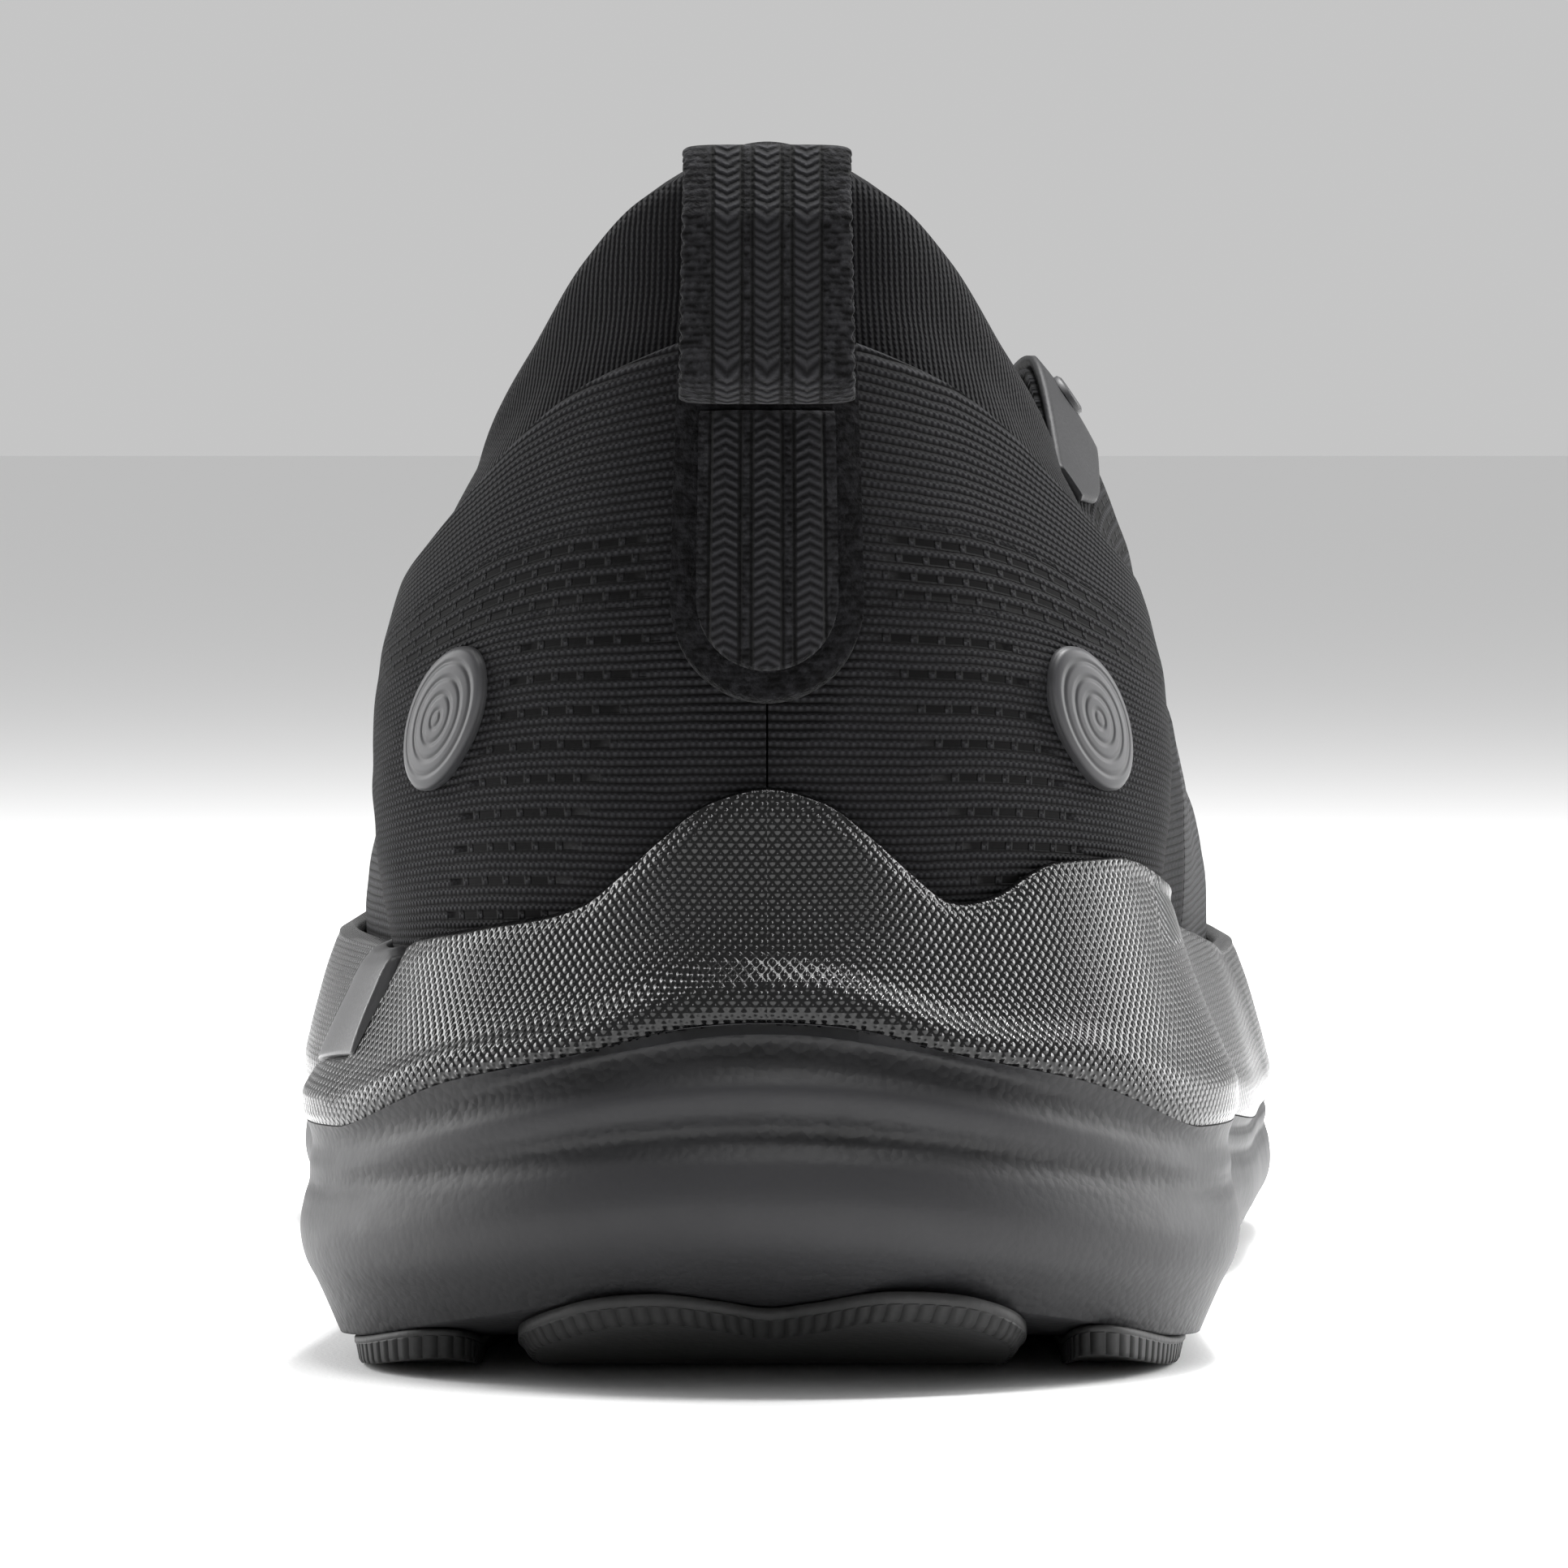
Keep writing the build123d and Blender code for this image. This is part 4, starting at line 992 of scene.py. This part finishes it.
    def insert_low(self, s: Array) -> Array:
        """Lower edge of the smooth insert."""
        along = (s - self.last.block_start) / (self.last.block_end - self.last.block_start)
        return self.last.block_low + 3.0 * (1 - smooth(along, -0.05, 0.35)) + 4.0 * smooth(along, 0.7, 1.05)

    def insert(self) -> bpy.types.Object:
        """Smooth insert in the cup's inner wall, slightly proud of it."""
        last = self.last
        g = np.linspace(8.0 - last.block_end + 0.02, 8.0 - last.block_start - 0.01, 120)
        ease = np.minimum(1.0, np.minimum(g - g[0], g[-1] - g) / 0.05 + 0.25)
        low = self.insert_low(last.station(g)[0]) + 0.2
        high = last.rim(g) - 1.5 * (1 - ease)
        points, uv = self.wall(g, low, high, 0.8)
        obj = weld(mesh_object("medial_side_insert", *close_ends(points, uv), loop=True))
        return dress(obj, Look.SIDE_BLOCK, "shoe", ["medial_side_block"])

    def pod(self, name: str, outline: Sequence[tuple[float, float]], bevel: float) -> bpy.types.Object:
        """Outsole pod: rings of its smooth outline, stepped in and down from the foam's underside."""
        last = self.last
        corners = np.array(outline, dtype=float)
        count = len(corners)
        k = np.linspace(0, count, 12 * count + 1)
        looped = np.concatenate([corners[-2:], corners, corners[:3]])
        line = through(looped, k + 2)
        middle = corners.mean(axis=0)
        away = line - middle
        away /= np.linalg.norm(away, axis=1, keepdims=True)
        run = np.concatenate([[0.0], np.cumsum(np.linalg.norm(np.diff(line, axis=0), axis=1))])
        steps = [(1.0, 0.0, 0.10, 1.0), (0.0, -0.6, 0.12, 1.0), (0.0, 0.0, 0.35, 0.95),
                 (0.0, 0.0, bevel, 0.6), (0.0, -0.35, bevel + 0.25, 0.4), (0.0, -1.0, 2.6, 0.1),
                 (0.0, -1.5, 2.98, 0.05), (0.0, -2.2, 3.0, 1.0), (0.5, 0.0, 3.0, 1.0), (1.0, 0.0, 3.0, 1.0)]
        rings = []
        coords = []
        for shrink, inset, drop, v in steps:
            ring = (line + away * inset) * (1 - shrink) + middle * shrink
            rings.append(np.column_stack([ring, last.underside(ring[:, 1]) - drop]))
            coords.append(np.column_stack([run, np.full_like(run, v)]))
        obj = weld(mesh_object(name, np.array(rings).transpose(1, 0, 2), np.array(coords).transpose(1, 0, 2),
                               around=True))
        return dress(obj, Look.RUBBER, "shoe", [name.replace("_rubber", "")])

    def build(self) -> None:
        """Make the whole sole unit."""
        self.lower()
        self.cup()
        self.insert()
        wave = [(-25.5, 22), (-20, 11), (-12, 7.5), (-5, 10), (0, 12.5), (5, 10.5), (13, 6.5), (22, 9.5),
                (26.5, 20)]
        self.pod("outsole_heel_center_rubber",
                 wave + [(24, 48), (18, 84), (0, 96), (-16, 84), (-23, 50)], 1.4)
        self.pod("outsole_heel_medial_rubber",
                 [(-43, 40), (-37.5, 26), (-30.5, 27), (-29, 50), (-27, 86), (-36, 100), (-41, 74)], 0.8)
        self.pod("outsole_heel_lateral_rubber",
                 [(43.5, 44), (38, 25), (31.5, 24), (30, 50), (28, 90), (36, 112), (43, 80)], 0.8)
        self.pod("outsole_forefoot_medial_rubber",
                 [(-45, 196), (-39, 160), (-24, 146), (-13, 160), (-12, 210), (-22, 246), (-38, 238)], 0.8)
        self.pod("outsole_forefoot_lateral_rubber",
                 [(55, 190), (46, 146), (26, 134), (14, 150), (14, 210), (24, 244), (44, 238), (53, 215)],
                 0.8)
        self.pod("outsole_toe_rubber",
                 [(-38, 256), (-20, 252), (0, 258), (18, 252), (36, 252), (30, 274), (10, 291), (-9, 294),
                  (-28, 284)], 0.8)


# ---- upper -----------------------------------------------------------------------------------
@dataclass
class Upper:
    """Knit panels, collar, lining, tongue, eyestays, toe film and patches."""

    last: Last
    knit: float = 1.8
    split: float = 2.45
    eyelets: int = 6
    patch_z: float = 68.0
    patch_station: float = 0.58
    patch_size: tuple = (8.8, 5.2)
    patch_turn: float = 50.0
    tongue_tip: float = 104.5
    tongue_root: float = 187.5
    tip_rise: float = 15.4
    tip_narrowing: float = 0.8
    first_eyelet: float = 1.98
    eyelet_run: float = 0.92
    eyelet_share: float = 0.915

    def quarter_top(self, g: Array) -> Array:
        """Upper edge of the quarters as a share of the section."""
        s, _ = self.last.station(g)
        z = curve(s, [(0, 108.0), (0.3, 103.0), (0.45, 98.0), (0.6, 91.5), (0.78, 84.5), (1, 79.5),
                      (1.3, 77.0), (1.6, 80.0), (2.0, 98.0)])
        t = self.last.share_at(g, z)
        return t + (0.985 - t) * smooth(s, 1.55, 1.85)

    def cloth(self, name: str, g: Array, low: Callable, high: Callable, rows: int) -> bpy.types.Object:
        """Knit panel whose courses arch up toward the heel's middle, with the soft waves of cloth."""
        last = self.last
        gg, k = np.meshgrid(g, np.linspace(0.0, 1.0, rows), indexing="ij")
        lo = low(gg)
        t = lo + (high(gg) - lo) * k
        plain = last.section(gg, t)
        swell = 0.35 * hash_noise(plain, 26.0, 5) + 0.18 * hash_noise(plain * np.array([1, 1, 2.2]), 11.0, 9)
        outer = last.layer(gg, t, -swell * np.sin(math.pi * np.clip(k, 0.02, 0.98)))
        inner = last.layer(gg, t, self.knit + 0 * t)
        arch = 1 - smooth(last.station(gg)[0], 1.2, 2.2)
        v = plain[..., 2] * (1 - 0.75 * arch) + 0.75 * arch * (38.0 + 70.0 * k)
        uv = np.stack([last.girth(gg), v], -1)
        points, coords = close_ends(*slabbed(outer, inner, uv, 0.3))
        return weld(mesh_object(name, points, coords, loop=True))

    def quarters(self) -> None:
        """Outer and inner quarters, which meet at the heel seam."""
        for name, g in (("quarter_lateral", np.linspace(0.0015, self.split, 190)),
                        ("quarter_medial", np.linspace(-self.split, -0.0015, 190))):
            obj = self.cloth(name + "_knit", g, at_share(0.0), self.quarter_top, 64)
            dress(obj, Look.KNIT, "shoe", [name])

    def vamp(self) -> None:
        """Forefoot panel from quarter to quarter round the toe."""
        g = np.linspace(self.split + 0.003, 8 - self.split - 0.003, 220)
        obj = self.cloth("vamp_knit", g, at_share(0.0), at_share(0.985), 56)
        dress(obj, Look.VAMP_KNIT, "shoe", ["vamp"])

    def collar(self) -> None:
        """Padded ankle collar: rises out of the quarters and rolls over to the lining."""
        g = np.linspace(-1.82, 1.82, 260)
        taper = 5.6 + 3.2 * smooth(np.abs(g), 0.15, 0.7) - 4.4 * smooth(np.abs(g), 1.3, 1.75)

        def inner_depth(gg: Array) -> Array:
            """Depth of the lining's face inside the knit, from the taper."""
            return np.interp(gg, g, taper)

        gg, k = np.meshgrid(g, np.linspace(0.0, 1.0, 34), indexing="ij")
        lo = self.last.share_at(gg, np.full_like(gg, 78.0))
        t = lo + (1.0 - lo) * k
        plain = self.last.section(gg, t)
        swell = 0.3 * hash_noise(plain, 18.0, 3) * np.sin(math.pi * k)
        outer = self.last.layer(gg, t, self.knit + 0.35 - swell - 1.2 * smooth(k, 0.75, 1.0))
        inner = self.last.layer(gg, t, inner_depth(gg))
        uv = np.stack([self.last.girth(gg), plain[..., 2]], -1)
        points, coords = close_ends(*slabbed(outer, inner, uv, 0.42))
        obj = weld(mesh_object("ankle_collar_knit", points, coords, loop=True))
        dress(obj, Look.COLLAR, "shoe",
              ["ankle_collar", "collar_padding_lateral", "collar_padding_medial"])

    def lining(self) -> None:
        """Spacer mesh lining of the heel, bulged by the collar's padding."""
        g = np.linspace(-1.7, 1.7, 160)
        gg, k = np.meshgrid(g, np.linspace(0.0, 1.0, 40), indexing="ij")
        lo = self.last.share_at(gg, np.full_like(gg, 38.9))
        t = lo + (0.94 - lo) * k
        z = self.last.section(gg, t)[..., 2]
        taper = np.interp(np.abs(gg), [0.15, 0.7], [6.2, 9.4])
        depth = 4.2 + (taper - 4.2) * smooth(z, 57.0, 79.0)
        outer = self.last.layer(gg, t, depth)
        inner = self.last.layer(gg, t, depth + 1.0)
        uv = np.stack([self.last.girth(gg), z], -1)
        points, coords = close_ends(*slabbed(outer, inner, uv, 0.3))
        obj = weld(mesh_object("heel_lining_mesh", points, coords, loop=True))
        dress(obj, Look.LINING, "shoe", ["heel_lining"])

    def tongue_face(self, depth: float, y0: float, y1: float, margin: float) -> Array:
        """Face of the tongue: parallel to the upper under its edges, a parabola across the throat."""
        last = self.last
        rows = []
        span = last.toe_axis - last.heel_axis
        for s in np.linspace(1 + 2 * (y0 - last.heel_axis) / span, 1 + 2 * (y1 - last.heel_axis) / span, 60):
            at = max(s, 2.0)
            shares = np.linspace(1.0 - margin, 0.999, 6)
            behind = 2.0 - min(s, 2.0)
            shift = np.array([0.0, last.centre(s)[1] - last.centre(at)[1], self.tip_rise * behind])
            taper = np.array([1.0 - self.tip_narrowing * behind, 1.0, 1.0])
            right, left = (last.layer(np.full(6, side * at), shares, depth) * taper + shift
                           for side in (1, -1))
            slope = (right[5, 2] - right[3, 2]) / max(right[3, 0] - right[5, 0], 1e-6)
            half = 0.5 * (right[5, 0] - left[5, 0])
            mid = 0.5 * (right[5] + left[5])
            a = np.linspace(1, -1, 31)[1:-1]
            crown = mid[2] + 0.5 * slope * half * (1 - a**2)
            arch = np.stack([mid[0] + a * half, np.full_like(a, mid[1]), crown], -1)
            rows.append(np.concatenate([right, arch, left[::-1]]))
        return np.array(rows)

    def tongue(self) -> None:
        """Padded tongue with a rounded tip, in the collar's knit."""
        outer = self.tongue_face(self.knit + 1.6, self.tongue_tip, self.tongue_root, 0.15)
        inner = self.tongue_face(self.knit + 7.6, self.tongue_tip, self.tongue_root, 0.12)
        belly = np.sin(math.pi * np.linspace(0, 1, outer.shape[1])) ** 0.4
        inner = outer + (inner - outer) * (0.35 + 0.65 * belly)[None, :, None]
        uv = np.stack([outer[..., 0], outer[..., 1]], -1)
        points, coords = close_ends(*slabbed(outer[::-1], inner[::-1], uv[::-1], 0.3))
        obj = weld(mesh_object("tongue_knit", points, coords, loop=True))
        dress(obj, Look.COLLAR, "tongue", ["tongue", "tongue_padding"])

    def eyestay(self, side: int, name: str) -> None:
        """Welded band along the throat with its punched eyelets, each with a dark ring."""
        s0, s1 = 1.72, 2.99
        g = np.linspace(s0, s1, 120) if side > 0 else np.linspace(-s1, -s0, 120)

        def low(gg: Array) -> Array:
            """Lower edge of the band, as a share of the section."""
            return curve(np.abs(gg), [(1.7, 0.93), (1.85, 0.83), (2.4, 0.80), (2.9, 0.80), (3.4, 0.84),
                                      (4, 0.88)])

        obj = panel(name + "_film", g, low, at_share(0.998), -1.1, 0.0, 18, lip=0.45)
        dress(obj, Look.FILM, "shoe", [name])
        rings = []
        turn = np.linspace(0, 2 * math.pi, 25)
        tube = [(0.0, 0.35), (1.5, 0.35), (1.6, -0.35), (2.0, -0.62), (2.45, -0.35), (2.5, 0.2)]
        for i in range(self.eyelets):
            gc = np.array([side * (self.first_eyelet + self.eyelet_run * i / (self.eyelets - 1))])
            tc = np.array([self.eyelet_share])
            here = self.last.layer(gc, tc, -1.1)[0]
            out = self.last.layer(gc, tc, -2.1)[0] - here
            along = self.last.layer(gc + 0.01, tc, -1.1)[0] - here
            along /= np.linalg.norm(along)
            across = np.cross(out, along)
            disc = [here + (np.cos(turn)[:, None] * along + np.sin(turn)[:, None] * across) * r - out * h
                    for r, h in tube]
            rings.append(np.array(disc).transpose(1, 0, 2))
        for i, grid in enumerate(rings):
            ring = weld(mesh_object(f"{name}_eyelet_{i + 1}", grid, np.zeros(grid.shape[:2] + (2,)),
                                    around=True))
            dress(ring, Look.PATCH, "shoe", [])

    def toe_film(self) -> None:
        """Thin film welded over the toe."""
        g = np.linspace(3.45, 4.55, 90)

        def low(gg: Array) -> Array:
            """Lower edge, just above the cup's rim, as a share of the section."""
            return self.last.share_at(gg, self.last.rim(gg) + 1.2)

        def high(gg: Array) -> Array:
            """Upper edge, highest at the tip of the toe."""
            return low(gg) + 0.16 - 0.08 * np.abs(gg - 4) / 0.55

        obj = panel("toe_guard_film", g, low, high, -0.9, 0.0, 16, lip=0.2)
        dress(obj, Look.FILM, "shoe", ["toe_guard"])

    def patch(self, side: int, name: str) -> None:
        """Plain oval badge with rings that follow its outline, laid on the curve of the quarter."""
        last = self.last
        a, b = self.patch_size
        turn = np.linspace(0, 2 * math.pi, 97)
        tilt = math.radians(self.patch_turn)
        steps = [(0.0, 1.15), (0.2, 1.15), (0.4, 1.15), (0.6, 1.15), (0.75, 1.12), (0.88, 1.05), (0.95, 0.9),
                 (0.99, 0.6), (1.0, 0.2), (1.0, -0.1)]
        points, coords = [], []
        for share, height in steps:
            x, y = a * share * np.cos(turn), b * share * np.sin(turn)
            du = side * (x * math.cos(tilt) - y * math.sin(tilt)) * -1
            dz = x * math.sin(tilt) + y * math.cos(tilt)
            g = side * self.patch_station + du / 66.0
            t = last.share_at(g, self.patch_z + dz)
            points.append(last.layer(g, t, -height + 0 * t))
            coords.append(np.column_stack([turn * b, np.full_like(turn, (1 - share) * b)]))
        grid = np.array(points).transpose(1, 0, 2)
        obj = weld(mesh_object(name + "_badge", grid, np.array(coords).transpose(1, 0, 2), around=True))
        dress(obj, Look.PATCH, "shoe", [name])

    def build(self) -> None:
        """Make the whole upper."""
        self.quarters()
        self.vamp()
        self.collar()
        self.lining()
        self.tongue()
        self.toe_film()
        for side, word in ((1, "lateral"), (-1, "medial")):
            self.eyestay(side, f"eyestay_{word}")
            self.patch(side, f"heel_patch_{word}")


# ---- heel pull tab ---------------------------------------------------------------------------
@dataclass
class PullTab:
    """Sewn knit strip on the heel with a ribbed inlay, and the loose loop over it."""

    last: Last
    width: float = 18.8
    inlay: float = 13.4
    low_z: float = 71.0
    loop_low: float = 100.5
    loop_top: float = 126.6
    strap: float = 1.5
    opening: float = 6.2

    def strip(self, name: str, width: float, z0: float, z1: float, out: float, inn: float, look: Look,
              node: str) -> bpy.types.Object:
        """Strip round the heel's middle with a round foot."""
        last = self.last
        r = width / 2
        fine = np.linspace(-0.3, 0.3, 241)
        x = last.place(fine, last.upper_reach(fine), 0.0)[:, 0]
        u = r * np.sin(np.linspace(-math.pi / 2, math.pi / 2, 49))
        g = np.interp(u, x, fine)

        def low(gg: Array) -> Array:
            """Rounded foot of the strip, as a share of the section."""
            here = np.interp(gg, g, u)
            z = z0 + r - np.sqrt(np.maximum(r * r - here**2, 0.0))
            return last.share_at(gg, z)

        gg, k = np.meshgrid(g, np.linspace(0.0, 1.0, 90), indexing="ij")
        lo = low(gg)
        t = lo + (at_height(z1)(gg) - lo) * k
        across = np.interp(gg, g, u)
        fuzz = 0.12 * hash_noise(last.section(gg, t), 3.1, 7)
        dome = 0.25 * (1 - (across / r) ** 2)
        outer = last.layer(gg, t, out - fuzz - dome)
        inner = last.layer(gg, t, inn + 0 * t)
        uv = np.stack([across, outer[..., 2]], -1)
        obj = weld(mesh_object(name, *close_ends(*slabbed(outer, inner, uv, 0.4)), loop=True))
        return dress(obj, look, "shoe", [node])

    def rear_line(self, depth: float, z: Array) -> Array:
        """Place along Y of the upper's rear middle line at heights z."""
        return self.last.layer(0 * z, self.last.share_at(0 * z, z), depth)[:, 1]

    def loop(self) -> bpy.types.Object:
        """Loop of webbing: a flat section with rounded edges carried round a closed path."""
        near = -(0.3 + 1.3 + 1.4)
        z = np.linspace(self.loop_low + 3, 120.0, 7)
        half = self.strap / 2
        front = np.column_stack([self.rear_line(near, z) - half, z])
        back = np.column_stack([self.rear_line(near - 2 * self.strap - self.opening, z) + half, z])
        foot = [(back[0] + front[0]) / 2 * [1, 0] + [0, self.loop_low + half]]
        head = [(back[-1] + front[-1]) / 2 * [1, 0] + [0.5, self.loop_top - half]]
        path = np.concatenate([foot, front, head, back[::-1]])
        count = len(path)
        looped = np.concatenate([path[-2:], path, path[:3]])
        k = np.linspace(0, count, 14 * count + 1)
        line = through(looped, k + 2)
        way = np.gradient(line, axis=0)
        way[0] = way[-1] = line[1] - line[-2]
        way /= np.linalg.norm(way, axis=1, keepdims=True)
        normal = np.column_stack([-way[:, 1], way[:, 0]])
        run = np.concatenate([[0.0], np.cumsum(np.linalg.norm(np.diff(line, axis=0), axis=1))])
        width = 8.4 + 0.35 * smooth(-line[:, 1], -self.loop_top, -self.loop_low)
        a = np.linspace(0, 2 * math.pi, 65)
        flat = np.sign(np.cos(a)) * np.abs(np.cos(a)) ** 0.35
        thick = np.sign(np.sin(a)) * np.abs(np.sin(a)) ** 0.6
        x = width[:, None] * flat[None]
        edge = 0.16 * np.sin(run[:, None] * 2 * math.pi / 1.9) * np.abs(flat[None]) ** 8 * np.sign(flat[None])
        off = half * thick[None] * np.ones_like(x)
        points = np.stack([x + edge, line[:, 0:1] + normal[:, 0:1] * off,
                           line[:, 1:2] + normal[:, 1:2] * off], -1)
        uv = np.stack([x, np.repeat(run[:, None], len(a), axis=1)], -1)
        obj = weld(mesh_object("pull_loop_webbing", points, uv, around=True, loop=True))
        return dress(obj, Look.TAPE, "pull_loop", ["pull_loop"])

    def build(self) -> None:
        """Make the tab and its loop."""
        self.strip("pull_tab_base_knit", self.width, self.low_z, 122.0, -1.6, 0.0, Look.TAPE_PLAIN,
                   "pull_tab_base")
        self.strip("pull_tab_inlay_ribbed", self.inlay, 74.0, 99.0, -2.6, -1.6, Look.TAPE, "pull_tab_insert")
        self.loop()


# ---- inside ----------------------------------------------------------------------------------
@dataclass
class Inside:
    """Loose sockliner, and the hidden board, counter and seam tape."""

    last: Last
    board: float = 1.9
    thick: float = 5.0
    inset: float = 6.4

    def sockliner(self) -> None:
        """Moulded footbed with a raised rim at the heel and arch."""
        last = self.last
        g = np.linspace(0, 8, 241)
        edge = last.layer(g, np.full_like(g, 0.02), self.inset)
        x0, y0 = last.centre(last.station(g)[0])
        x0 = x0 - last.toe_swing * (np.clip(y0 - 165.0, 0.0, None) / 130.0) ** 2
        middle = np.column_stack([x0, y0])
        heel = 1 - smooth(edge[:, 1], 90, 190)
        rings, coords = [], []
        steps = [(0.0, 0.0), (0.5, 0.0), (0.9, 0.0), (0.985, 0.0), (1.0, 0.5), (1.0, 0.85), (0.985, 1.0),
                 (0.94, 1.0), (0.85, 0.96), (0.7, 0.9), (0.5, 0.86), (0.25, 0.85), (0.0, 0.85)]
        for share, up in steps:
            xy = middle + (edge[:, :2] - middle) * share
            z = last.footbed(xy[:, 1]) + self.board + (self.thick - 1.0 + 1.0 * heel) * up
            rings.append(np.column_stack([xy, z]))
            coords.append(xy)
        grid = np.array(rings).transpose(1, 0, 2)
        obj = weld(mesh_object("sockliner_foam", grid, np.array(coords).transpose(1, 0, 2), around=True))
        dress(obj, Look.SOCK, "sockliner", ["sockliner"])

    def hidden(self, frame: dict) -> None:
        """Give the CAD pieces that stay inside their own materials."""
        for node, look in (("strobel_board", Look.BOARD), ("heel_counter", Look.COUNTER),
                           ("heel_seam_tape", Look.LINING)):
            obj = frame["nodes"][node]
            obj.data.materials.clear()
            obj.data.materials.append(look.value.build())

    def build(self, frame: dict) -> None:
        """Make the sockliner and dress what is hidden."""
        self.sockliner()
        self.hidden(frame)


# ---- studio ----------------------------------------------------------------------------------
@dataclass
class Studio:
    """White sweep, soft boxes on both sides, a top light and a long lens behind the heel."""

    last: Last
    lens: float = 252.0
    distance: float = 1.10
    elevation: float = 2.6
    yaw: float = 0.0
    aim: tuple = (1.7, 0.0, 62.5)

    def floor(self) -> None:
        """Pale floor."""
        z = self.last.origin[2]
        mesh = bpy.data.meshes.new("studio_floor")
        mesh.from_pydata([(-6, -6, z), (6, -6, z), (6, 6, z), (-6, 6, z)], [], [(0, 1, 2, 3)])
        obj = bpy.data.objects.new("studio_floor", mesh)
        bpy.context.scene.collection.objects.link(obj)
        paper = Finish("studio_paper", Hue("#f2f2f2"), Hue("#f6f6f6"), 0.9, 0.02, 0.1)
        obj.data.materials.append(paper.build())
        obj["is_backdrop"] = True

    def light(self, name: str, place: tuple, size: tuple, power: float) -> None:
        """Rectangular soft box that faces the shoe."""
        data = bpy.data.lights.new(name, "AREA")
        data.shape = "RECTANGLE"
        data.size, data.size_y = size
        data.energy = power
        obj = bpy.data.objects.new(name, data)
        obj.location = place
        target = Vector(tuple(self.last.origin + np.array([0.0, 0.08, 0.06])))
        obj.rotation_euler = (target - Vector(place)).to_track_quat("-Z", "Y").to_euler()
        bpy.context.scene.collection.objects.link(obj)

    def world(self) -> None:
        """Even white surround."""
        world = bpy.data.worlds.new("studio_world")
        world.use_nodes = True
        back = world.node_tree.nodes["Background"]
        back.inputs["Color"].default_value = (1, 1, 1, 1)
        back.inputs["Strength"].default_value = 0.56
        bpy.context.scene.world = world
        bpy.context.scene.view_settings.view_transform = "Standard"

    def camera(self) -> None:
        """Long lens just above the ground behind the heel."""
        data = bpy.data.cameras.new("camera")
        data.lens = self.lens
        data.sensor_width = 36.0
        obj = bpy.data.objects.new("camera", data)
        aim = Vector(tuple(self.last.world(np.array(self.aim))))
        e, a = math.radians(self.elevation), math.radians(self.yaw)
        way = Vector((math.sin(a) * math.cos(e), -math.cos(a) * math.cos(e), math.sin(e)))
        obj.location = aim + way * self.distance
        obj.rotation_euler = (-way).to_track_quat("-Z", "Y").to_euler()
        bpy.context.scene.collection.objects.link(obj)
        bpy.context.scene.camera = obj

    def build(self) -> None:
        """Make the floor, lights, surround and camera."""
        self.floor()
        self.world()
        self.light("box_left", (-0.8, 0.3, 0.25), (0.3, 0.9), 12.0)
        self.light("box_right", (0.8, 0.3, 0.25), (0.3, 0.9), 13.0)
        self.light("box_top", (0.1, 0.06, 0.8), (0.3, 0.12), 18.0)
        self.light("box_glint", (0.12, -0.36, 0.88), (0.6, 0.07), 6.0)
        self.camera()


def main() -> None:
    """Load the frame, build the shoe and the studio."""
    logging.basicConfig(level=logging.INFO, format="%(name)s %(message)s")
    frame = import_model()
    LAST.seat()
    Sole(LAST).build()
    Upper(LAST).build()
    PullTab(LAST).build()
    Inside(LAST).build(frame)
    Studio(LAST).build()


if __name__ == "__main__":
    main()
